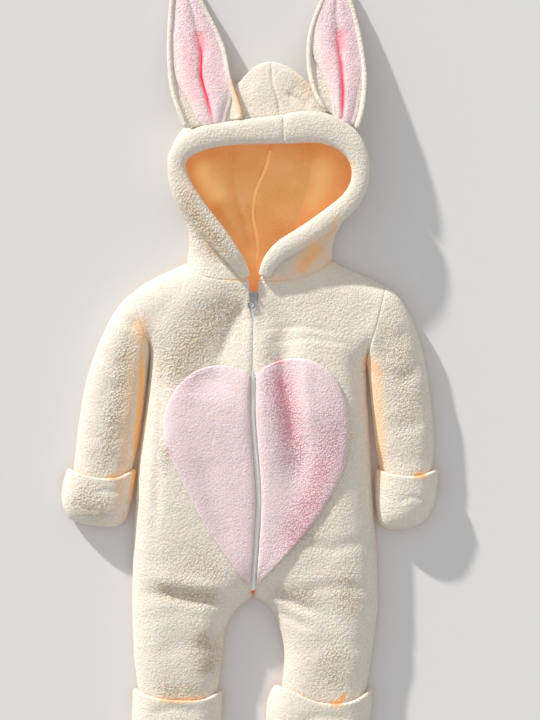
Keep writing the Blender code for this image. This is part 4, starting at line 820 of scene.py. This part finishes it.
def looks_out(face, way, axis):
    """Whether a face is on the outside of its piece of cloth, or on a cut edge of it."""
    if way == "all":
        return True
    normal = face.normal
    if way == "top":
        return normal.z > -SIDE_LEAN
    if way == "under":
        return normal.z < SIDE_LEAN
    middle = face.calc_center_median()
    level = TUBE_MIDDLE_Z if way == "tube" else HOOD_MIDDLE_Z
    nearest = None
    for (x0, y0), (x1, y1) in zip(axis[:-1], axis[1:]):
        a = Vector((x0, y0, level)) * MM
        b = Vector((x1, y1, level)) * MM
        part = max(0, min(1, (middle - a).dot(b - a) / (b - a).length_squared))
        away = middle - (a + part * (b - a))
        if nearest is None or away.length < nearest.length:
            nearest = away
    return nearest.dot(normal) > 0


def mark_sides(mesh, node, way):
    """Gives faces on the outside material 0 and the others material 1."""
    axis = SLEEVE_AXES.get(node, HOOD_AXIS)
    mesh.normal_update()
    for face in mesh.faces:
        face.smooth = True
        face.material_index = 0 if looks_out(face, way, axis) else 1


def node_tree(node):
    """A search tree over the surface of a CAD node."""
    mesh = bmesh.new()
    mesh.from_mesh(frame["nodes"][node].data)
    tree = BVHTree.FromBMesh(mesh)
    mesh.free()
    return tree


def mark_room(mesh, covers):
    """Keeps in the layer "room" how freely the pile stands at each point, from 0 to 1."""
    room = mesh.verts.layers.float.new("room")
    trees = [node_tree(name) for name in covers]
    for vert in mesh.verts:
        vert[room] = 1
        start = vert.co + vert.normal * RAY_START * MM
        for tree in trees:
            gap = tree.ray_cast(start, vert.normal, PILE_REACH * MM)[3]
            if gap is not None:
                free = max(0, gap / MM - PILE_LEAST) / (PILE_REACH - PILE_LEAST)
                vert[room] = min(vert[room], free)


def refine(mesh, way, sizes):
    """Divides the faces until their edges are short enough for what is seen of them."""
    room = mesh.verts.layers.float["room"]
    for _ in range(REFINE_ROUNDS):
        long_edges = []
        for edge in mesh.edges:
            a, b = edge.verts
            if any(face.material_index == 0 for face in edge.link_faces):
                hidden = max(a.co.z, b.co.z) < LOW_Z * MM or a[room] + b[room] < NO_ROOM
                longest = sizes.under_mesh if hidden else sizes.top_mesh
            elif way == "hood":
                longest = sizes.under_mesh
            else:
                continue
            if edge.calc_length() > longest:
                long_edges.append(edge)
        if not long_edges:
            break
        bmesh.ops.subdivide_edges(
            mesh, edges=long_edges, cuts=1, use_grid_fill=True, use_single_edge=True)


def read_points(data):
    """Points and normals of a mesh as arrays, in millimetres and as unit vectors."""
    points = np.zeros(len(data.vertices) * 3)
    data.vertices.foreach_get("co", points)
    normals = np.zeros(len(data.vertices) * 3)
    data.vertex_normals.foreach_get("vector", normals)
    return points.reshape(-1, 3) / MM, normals.reshape(-1, 3)


def write_points(data, points):
    """Moves the points of a mesh to places in millimetres."""
    data.vertices.foreach_set("co", (points * MM).ravel())


def outside_share(data):
    """How much of the faces round each point are on the outside, from 0 to 1."""
    corners = np.zeros(len(data.loops), np.int64)
    data.loops.foreach_get("vertex_index", corners)
    sizes = np.zeros(len(data.polygons), np.int64)
    data.polygons.foreach_get("loop_total", sizes)
    slots = np.zeros(len(data.polygons), np.int64)
    data.polygons.foreach_get("material_index", slots)
    outside = np.repeat(slots == 0, sizes).astype(float)
    total = np.bincount(corners, minlength=len(data.vertices))
    return np.bincount(corners, outside, minlength=len(data.vertices)) / np.maximum(total, 1)


def read_values(data, name):
    """The numbers kept for each point of a mesh."""
    values = np.zeros(len(data.vertices))
    data.attributes[name].data.foreach_get("value", values)
    return values


def write_values(data, name, values):
    """Keeps one number for each point of a mesh."""
    made = data.attributes.new(name, "FLOAT", "POINT")
    made.data.foreach_set("value", values.astype(np.float32))


def strokes(points, table):
    """The strongest of the strokes of a table at each point."""
    found = np.zeros(len(points))
    for path, half_width, strength in table:
        found = np.maximum(found, strength * soft_stroke(points, path, half_width))
    return found


def crease_depth(points, table):
    """The sum of the creases of a table at each point, in millimetres."""
    depth = np.zeros(len(points))
    for path, half_width, deep in table:
        near = soft_stroke(points, path, half_width)
        beside = soft_stroke(points, path, 2 * half_width)
        depth += deep * (1.25 * near - 0.25 * beside)
    return depth


def away_from_zip(points):
    """0 beside the zip, which stays where it is, and 1 a little further away."""
    gap, _ = along_path(points, ZIP_LINE)
    return np.clip((gap - ZIP_STILL) / ZIP_FREE, 0, 1)


def close_seam(points, node):
    """Draws the ends of the cloth together where a seam closes."""
    if node not in CLOSED_SEAMS:
        return
    line, reach, draw = CLOSED_SEAMS[node]
    gap, _ = along_path(points, line)
    near = np.clip(1 - gap / reach, 0, 1) * (points[:, 2] > SEAM_LEVEL)
    points[:, 0] += draw * near


def mark_colours(data, points, normals, painted_shade_table, fade_table):
    """Keeps where the cloth gets painted warm shade and glow, where its inside gets painted glow
    and where it fades.
    """
    low = np.clip(1 - points[:, 2] / EDGE_HEIGHT, 0, 1)
    turned_down = np.clip(EDGE_TURN - normals[:, 2], 0, 1) * low
    painted_shade_glow = np.maximum(strokes(points, painted_shade_table), EDGE_PAINTED_SHADE * turned_down)
    write_values(data, "painted_shade_glow", painted_shade_glow)
    write_values(data, "painted_glow", strokes(points, PAINTED_GLOW_PLACES))
    write_values(data, "fade", strokes(points, fade_table))


def knob_height(points, curl, salt):
    """The height of the curls, from 0 to 1, with smaller lumps on them."""
    stirred = points + curl * 0.4 * lumps(points, curl * 1.7, salt + 5)[:, None]
    knob = 0.8 * curls(stirred, curl, salt)
    return knob + (0.1 + 0.1 * lumps(points, curl * 0.5, salt + 9))


def pile_height(points, curl, pile, salt, ruffled_and_shaded, resting):
    """How far the pile stands over the cloth, or is pressed in where it rests on the floor."""
    knob = knob_height(points, curl, salt)
    patch = 0.5 + 0.5 * lumps(points, curl * 5, salt + 17)
    knob_share = KNOB_STANDS + KNOB_PATCHES * patch + KNOB_RUFFLED * ruffled_and_shaded
    standing = pile * (PILE_STANDS + PILE_PATCHES * patch + knob * knob_share)
    standing *= ZIP_PILE + (1 - ZIP_PILE) * away_from_zip(points)
    pressed = -PRESSING * pile * (1 - knob)
    return standing * (1 - resting) + pressed * resting


def raise_pile(piece, node, curl, pile, tables, swell):
    """Presses the creases in, raises the pile and keeps where the colour changes."""
    data = piece.data
    points, normals = read_points(data)
    share = outside_share(data)
    mark_colours(data, points, normals, *tables)
    upper = np.clip((points[:, 2] - CREASE_FLOOR) / CREASE_FADE, 0, 1)
    sink = crease_depth(points, CREASES) * upper * away_from_zip(points)
    low = np.clip(1 - points[:, 2] / RESTING_HEIGHT, 0, 1)
    resting = low * (normals[:, 2] < RESTING_TURN)
    ruffled_and_shaded = strokes(points, RUFFLED_AND_SHADED_PLACES)
    salt = 31 * (1 + list(FLEECE).index(node))
    height = pile_height(points, curl, pile, salt, ruffled_and_shaded, resting)
    height *= share * read_values(data, "room")
    height -= crease_depth(points, UNDER_CREASES) * resting * share
    height += crease_depth(points, INNER_FOLDS) * (1 - share)
    sideways = np.clip(1 - SWELL_TURN * np.abs(normals[:, 2]), 0, 1)
    points += normals * (height + swell * sideways)[:, None]
    points[:, 2] += LINING_LIFT / LINING_SWELL * swell * sideways
    close_seam(points, node)
    points[:, 2] = np.maximum(points[:, 2] - sink, FLOOR_Z + FLOOR_GAP)
    write_points(data, points)
    write_values(data, "ruffled_and_shaded", ruffled_and_shaded * share)
    data.update()


def make_fleece(node, sizes, curl, pile, materials, slot, tables, swell=0.0):
    """A piece of fleece in the place of a CAD node."""
    cloth = FLEECE[node]
    mesh = rounded_copy(node)
    mark_sides(mesh, node, cloth.way)
    mark_room(mesh, cloth.covers)
    refine(mesh, cloth.way, sizes)
    piece = add_piece(node + "_fleece", mesh, *materials)
    raise_pile(piece, node, curl / MM, pile / MM, tables, swell)
    dress(piece, "suit", slot, node)
    return piece


def dress(piece, body, slot, *nodes):
    """Says what a finished piece rides on, and hides the nodes that it stands for. The slot is not
    used.
    """
    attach(piece, body)
    if nodes:
        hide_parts(*nodes)


def make_cream(context, nodes):
    """Several pieces of cream fleece with their backing, whose orange also stands in for warm
    shade.
    """
    settings, colours = context.scene.suit_sizes, context.scene.suit_colours
    outside = kept("cream_sherpa_fleece", lambda: fleece_material(
        "cream_sherpa_fleece", colours.cream, colours.cream_hollow_shade, colours.painted_shade_glow,
        settings.curl, 0.75, colours.pink))
    inside = kept_backing(context)
    for node in nodes:
        make_fleece(node, settings, settings.curl, settings.pile, [outside, inside],
                    "cream_fleece", (PAINTED_WARM_SHADE_PLACES, BLUSHING_PLACES))
    return {"FINISHED"}


def make_pink(context, nodes):
    """Several pieces of pink fleece with a shorter pile."""
    settings, colours = context.scene.suit_sizes, context.scene.suit_colours
    curl = settings.curl * 0.85
    outside = kept("pink_short_fleece", lambda: fleece_material(
        "pink_short_fleece", colours.pink, colours.pink_hollow_shade, colours.crease_shade, curl, 0.6,
        colours.cream))
    for node in nodes:
        swell = LINING_SWELL if "lining" in node else 0.0
        make_fleece(node, settings, curl, settings.short_pile, [outside, outside],
                    "pink_fleece", (PAINTED_ROSY_SHADE_PLACES, FADING_PLACES), swell)
    return {"FINISHED"}


# ---------------------------------------------------------------- zip and seam

def height_under(trees, x, y, start=60.0):
    """How high the first surface under a point of the plan lies, in millimetres."""
    found = [tree.ray_cast(Vector((x, y, start)) * MM, Vector((0, 0, -1)))[0] for tree in trees]
    return max((place.z for place in found if place), default=0.0) / MM


def add_wire(name, points, radius):
    """A mesh tube along points in millimetres, with rounded turns."""
    shape = bpy.data.curves.new(name, "CURVE")
    shape.dimensions = "3D"
    shape.bevel_depth = radius * MM
    shape.bevel_resolution = 3
    shape.use_fill_caps = True
    spline = shape.splines.new("NURBS")
    spline.points.add(len(points) - 1)
    for place, (x, y, z) in zip(spline.points, points):
        place.co = (x * MM, y * MM, z * MM, 1)
    spline.use_endpoint_u = True
    spline.order_u = 4
    spline.resolution_u = 6
    mesh = evaluated_mesh(add_object(name, shape))
    for face in mesh.faces:
        face.smooth = True
    return mesh


def add_plate(name, outlines, low, high, bevel=ROUND_EDGE):
    """A mesh plate between two heights, with holes and rounded edges, in millimetres."""
    shape = bpy.data.curves.new(name, "CURVE")
    shape.dimensions = "2D"
    shape.fill_mode = "BOTH"
    shape.extrude = ((high - low) / 2 - bevel) * MM
    shape.bevel_depth = bevel * MM
    shape.bevel_resolution = 2
    shape.offset = -bevel * MM
    for outline in outlines:
        spline = shape.splines.new("POLY")
        spline.points.add(len(outline) - 1)
        for place, (x, y) in zip(spline.points, outline):
            place.co = (x * MM, y * MM, 0, 1)
        spline.use_cyclic_u = True
    mesh = evaluated_mesh(add_object(name, shape))
    bmesh.ops.remove_doubles(mesh, verts=mesh.verts, dist=0.002 * MM)
    bmesh.ops.translate(mesh, vec=(0, 0, (low + high) / 2 * MM), verts=mesh.verts)
    bmesh.ops.recalc_face_normals(mesh, faces=mesh.faces)
    return mesh


def joined(meshes):
    """One bmesh of several."""
    whole = bmesh.new()
    for mesh in meshes:
        part = bpy.data.meshes.new("part")
        mesh.to_mesh(part)
        mesh.free()
        whole.from_mesh(part)
        bpy.data.meshes.remove(part)
    return whole


def arc(x, y, radius, start, end, steps):
    """Points on an arc, from one angle to another in degrees."""
    angles = [math.radians(start + (end - start) * k / steps) for k in range(steps + 1)]
    return [(x + radius * math.cos(a), y + radius * math.sin(a)) for a in angles]


def pull_mesh():
    """The pull: an eye round the bail, a waisted strap and a ring with a round hole."""
    ring_y = PULL_RING - PULL_LENGTH
    outline = arc(0, -PULL_EYE * 0.55, PULL_EYE, 20, 160, 12)
    outline += [(-PULL_STRAP, y) for y in PULL_STRAP_ENDS]
    outline += arc(0, ring_y, PULL_RING, 118, 422, 30)
    outline += [(PULL_STRAP, y) for y in reversed(PULL_STRAP_ENDS)]
    hole = arc(0, ring_y, PULL_HOLE, 0, 345, 23)
    slot = arc(0, -0.6, 0.75, 0, 330, 11)
    slot = [(x * 1.1, y - (0.9 if y < -0.6 else 0)) for x, y in slot]
    mesh = add_plate("pull", [outline, hole, slot], -PULL_THICK / 2, PULL_THICK / 2)
    bmesh.ops.rotate(mesh, cent=(0, 0, 0), matrix=Matrix.Rotation(-PULL_LEAN, 3, "Z"),
                     verts=mesh.verts)
    bmesh.ops.translate(mesh, vec=Vector(HINGE) * MM, verts=mesh.verts)
    return mesh


def slider_mesh():
    """The slider: two waisted plates, the post between them and the bail over the top."""
    x = HINGE[0]
    outline = [(x - half, y) for half, y in SLIDER_PLATE]
    outline += [(x + half, y) for half, y in reversed(SLIDER_PLATE)]
    post = arc(x, SLIDER_POST_Y, SLIDER_POST_RADIUS, 0, 342, 19)
    low_top = SLIDER_BOTTOM + SLIDER_PLATE_THICK * 0.8
    high_low = SLIDER_TOP - SLIDER_PLATE_THICK
    return joined([
        add_plate("low", [outline], SLIDER_BOTTOM, low_top),
        add_plate("high", [outline], high_low, SLIDER_TOP, 0.3),
        add_plate("post", [post], low_top - 0.1, high_low + 0.1, 0.05),
        add_wire("bail", [(x, y, z) for y, z in BAIL], BAIL_RADIUS),
    ])


def teeth_mesh():
    """The teeth of the coil: small bars that reach over the middle from either side."""
    trees = [node_tree("zip_coil")]
    tooth = bmesh.new()
    bmesh.ops.create_cube(tooth, size=MM)
    bmesh.ops.scale(tooth, vec=(TOOTH_LENGTH, TOOTH_WIDTH, TOOTH_HEIGHT), verts=tooth.verts)
    ends = [edge for edge in tooth.edges if edge.calc_length() < 0.5 * TOOTH_LENGTH * MM]
    bmesh.ops.bevel(tooth, geom=ends, affect="EDGES", offset=TOOTH_BEVEL * MM, segments=1,
                    profile=0.5, material=-1)
    ys = np.arange(ZIP_LINE[0][1], ZIP_LINE[-1][1], TOOTH_PITCH)
    xs = np.interp(ys, [y for _, y in ZIP_LINE], [x for x, _ in ZIP_LINE])
    whole = bmesh.new()
    part = bpy.data.meshes.new("tooth")
    tooth.to_mesh(part)
    tooth.free()
    for count, (x, y) in enumerate(zip(xs, ys)):
        side = 1 if count % 2 else -1
        top = height_under(trees, x, y)
        if top == 0:
            continue
        top += TEETH_RISE * min(1, max(0, (TEETH_BARE - y) / TEETH_FADE))
        before = len(whole.verts)
        whole.from_mesh(part)
        whole.verts.ensure_lookup_table()
        place = Vector((x + side * TOOTH_SHIFT, y, top - TOOTH_SINK * TOOTH_HEIGHT))
        bmesh.ops.translate(whole, vec=place * MM, verts=whole.verts[before:])
    bpy.data.meshes.remove(part)
    return whole


def make_tape(context, node):
    """A tape of the zip, woven and a little wavy along its edge."""
    mesh = rounded_copy(node)
    whole = mesh.verts[:] + mesh.edges[:] + mesh.faces[:]
    bmesh.ops.bisect_plane(mesh, geom=whole, plane_co=(0, TAPE_END * MM, 0),
                           plane_no=(0, 1, 0), clear_outer=True)
    bmesh.ops.holes_fill(mesh, edges=[edge for edge in mesh.edges if edge.is_boundary])
    mark_sides(mesh, node, "all")
    for _ in range(TAPE_ROUNDS):
        long_edges = [edge for edge in mesh.edges if edge.calc_length() > TAPE_MESH * MM]
        bmesh.ops.subdivide_edges(mesh, edges=long_edges, cuts=1, use_grid_fill=True,
                                  use_single_edge=True)
    colours = context.scene.suit_colours
    woven = kept("woven_polyester_tape", lambda: tape_material(colours))
    piece = add_piece(node + "_woven", mesh, woven)
    points, normals = read_points(piece.data)
    points += normals * TAPE_WAVE * lumps(points, TAPE_WAVE_SIZE, 77)[:, None]
    write_points(piece.data, points)
    dress(piece, "suit", "zip_tape", node)
    return piece


def make_hood_seam(context):
    """The bound seam down the middle of the inside of the hood."""
    trees = [node_tree("hood_left"), node_tree("hood_right")]
    path = []
    for x, y in HOOD_SEAM:
        levels = [height_under(trees, x + side, y, HOOD_SEAM_START) for side in HOOD_SEAM_SIDES]
        path.append((x, y, max(*levels, HOOD_SEAM_LEAST) + HOOD_SEAM_LIFT))
    mesh = add_wire("hood_seam", path, HOOD_SEAM_RADIUS)
    piece = add_piece("hood_seam_binding", mesh, kept_backing(context))
    write_values(piece.data, "painted_glow", np.full(len(piece.data.vertices), HOOD_SEAM_PAINTED_GLOW))
    dress(piece, "suit", "cream_fleece")
    return piece


def make_neck_facing(context):
    """The facing inside the back of the neck, which covers the seam of the hood."""
    mesh = bmesh.new()
    bmesh.ops.create_grid(mesh, x_segments=30, y_segments=20, size=0.5)
    bmesh.ops.scale(mesh, vec=[side * MM for side in FACING_SIZE] + [1], verts=mesh.verts)
    bmesh.ops.translate(mesh, vec=Vector(FACING_MIDDLE) * MM, verts=mesh.verts)
    bmesh.ops.solidify(mesh, geom=mesh.faces[:], thickness=FACING_THICK * MM)
    bmesh.ops.recalc_face_normals(mesh, faces=mesh.faces)
    piece = add_piece("neck_facing", mesh, kept_backing(context))
    points, normals = read_points(piece.data)
    points += normals * FACING_WAVE * lumps(points, FACING_WAVE_SIZE, 91)[:, None]
    write_points(piece.data, points)
    write_values(piece.data, "painted_glow", strokes(points, PAINTED_GLOW_PLACES))
    dress(piece, "suit", "cream_fleece")
    return piece


# ---------------------------------------------------------------- operators

class SUIT_OT_body(bpy.types.Operator):
    """Makes the fronts and the backs"""

    bl_idname = "suit.body"
    bl_label = "Fronts and backs"

    def execute(self, context):
        return make_cream(context, ["front_left", "front_right", "back_left", "back_right"])


class SUIT_OT_sleeves(bpy.types.Operator):
    """Makes the two sleeves"""

    bl_idname = "suit.sleeves"
    bl_label = "Sleeves"

    def execute(self, context):
        return make_cream(context, ["sleeve_left", "sleeve_right"])


class SUIT_OT_ends(bpy.types.Operator):
    """Makes the fold-over mitts and feet"""

    bl_idname = "suit.ends"
    bl_label = "Mitts and feet"

    def execute(self, context):
        parts = itertools.product(("mitt", "foot"), ("front", "back"), ("left", "right"))
        return make_cream(context, ["_".join(part) for part in parts])


class SUIT_OT_hood(bpy.types.Operator):
    """Makes the hood, the rolled facing round its opening and the seam inside it"""

    bl_idname = "suit.hood"
    bl_label = "Hood"

    def execute(self, context):
        make_hood_seam(context)
        make_neck_facing(context)
        return make_cream(context, ["hood_left", "hood_right", "hood_rim_left", "hood_rim_right"])


class SUIT_OT_ears(bpy.types.Operator):
    """Makes the ears and their pink linings"""

    bl_idname = "suit.ears"
    bl_label = "Ears"

    def execute(self, context):
        make_cream(context, ["ear_left", "ear_right"])
        return make_pink(context, ["ear_lining_left", "ear_lining_right"])


class SUIT_OT_heart(bpy.types.Operator):
    """Makes the heart that the zip cuts in two"""

    bl_idname = "suit.heart"
    bl_label = "Heart"

    def execute(self, context):
        return make_pink(context, ["heart_left", "heart_right"])


class SUIT_OT_zip(bpy.types.Operator):
    """Makes the tapes, the teeth, the slider and the pull of the zip"""

    bl_idname = "suit.zip"
    bl_label = "Zip"

    def execute(self, context):
        colours = context.scene.suit_colours
        for node in ("zip_tape_left", "zip_tape_right"):
            make_tape(context, node)
        nickel = kept("nickel_plated_zinc", lambda: nickel_material(colours))
        nylon = kept("extruded_nylon", lambda: nylon_material(colours))
        parts = [
            ("zip_teeth", teeth_mesh, nylon, "suit", "zip_coil", "zip_coil"),
            ("zip_slider_body", slider_mesh, nickel, "suit", "nickel", "zip_slider"),
            ("zip_pull_tab", pull_mesh, nickel, "pull_tab", "nickel", "zip_pull"),
        ]
        for name, make, material, body, slot, node in parts:
            piece = add_piece(name, make(), material)
            dress(piece, body, slot, node)
        return {"FINISHED"}


class SUIT_OT_declare(bpy.types.Operator):
    """Does nothing: the sizes that each piece of cloth was cut to stay in the table FLEECE"""

    bl_idname = "suit.declare"
    bl_label = "Cloth sizes"

    def execute(self, context):
        return {"FINISHED"}


class SUIT_OT_stage(bpy.types.Operator):
    """Makes the floor, the lights and the camera"""

    bl_idname = "suit.stage"
    bl_label = "Studio"

    def execute(self, context):
        scene = context.scene
        mesh = bmesh.new()
        bmesh.ops.create_grid(mesh, x_segments=12, y_segments=12, size=FLOOR_HALF)
        bmesh.ops.translate(mesh, vec=(0, 0, FLOOR_Z - FLOOR_DROP), verts=mesh.verts)
        add_piece("studio_floor", mesh, floor_material(scene.suit_colours))
        add_sun()
        scene.world = studio_world()
        scene.view_settings.view_transform = "Standard"
        camera = add_object("camera", bpy.data.cameras.new("camera"))
        camera.location = (CAMERA_X * MM, CAMERA_Y * MM, CAMERA_HEIGHT)
        camera.data.sensor_width = SENSOR
        camera.data.lens = SENSOR * (CAMERA_HEIGHT - FRAME_LEVEL) / FRAME_HEIGHT
        camera.data.clip_end = 50
        scene.camera = camera
        return {"FINISHED"}


def add_sun():
    """Low light from the upper left, as through a far window."""
    data = bpy.data.lights.new("low_sun", "SUN")
    data.energy = SUN_POWER
    data.angle = math.radians(SUN_SOFTNESS)
    data.color = SUN_COLOUR
    made = add_object("low_sun", data)
    rise, turn = math.radians(SUN_RISE), math.radians(SUN_TURN)
    flat = math.cos(rise)
    place = Vector((math.cos(turn) * flat, math.sin(turn) * flat, math.sin(rise)))
    made.location = place * SUN_DISTANCE
    made.rotation_euler = (-place).to_track_quat("-Z", "Y").to_euler()


def studio_world():
    """Pale surroundings, a little brighter overhead than at the horizon."""
    world = bpy.data.worlds.new("pale_studio")
    world.use_nodes = True
    tree = world.node_tree
    way = add_node(tree, "ShaderNodeTexCoord").outputs["Generated"]
    rise = add_node(tree, "ShaderNodeSeparateXYZ", {0: way}).outputs["Z"]
    set_inputs(tree.nodes["Background"], {
        "Color": rgba(SKY_COLOUR),
        "Strength": add_range(tree, rise, high=0.9, to_low=SKY_LOW, to_high=SKY_HIGH),
    })
    return world


STEPS = [
    SUIT_OT_stage, SUIT_OT_body, SUIT_OT_sleeves, SUIT_OT_ends, SUIT_OT_hood, SUIT_OT_ears,
    SUIT_OT_heart, SUIT_OT_zip, SUIT_OT_declare,
]


class SUIT_PT_panel(bpy.types.Panel):
    """Lists what makes the suit"""

    bl_idname = "SUIT_PT_panel"
    bl_label = "Fleece suit"
    bl_space_type = "VIEW_3D"
    bl_region_type = "UI"
    bl_category = "Suit"

    def draw(self, context):
        for group in (context.scene.suit_sizes, context.scene.suit_colours):
            for name in group.bl_rna.properties.keys():
                if name not in ("rna_type", "name"):
                    self.layout.prop(group, name)
        for step in STEPS:
            self.layout.operator(step.bl_idname)


CLASSES = [SuitSizes, SuitColours, *STEPS, SUIT_PT_panel]


def register():
    for each in CLASSES:
        bpy.utils.register_class(each)
    bpy.types.Scene.suit_sizes = PointerProperty(type=SuitSizes)
    bpy.types.Scene.suit_colours = PointerProperty(type=SuitColours)


def unregister():
    del bpy.types.Scene.suit_colours
    del bpy.types.Scene.suit_sizes
    for each in reversed(CLASSES):
        bpy.utils.unregister_class(each)


def main():
    register()
    for step in STEPS:
        group, name = step.bl_idname.split(".")
        getattr(getattr(bpy.ops, group), name)()


if __name__ == "__main__":
    main()
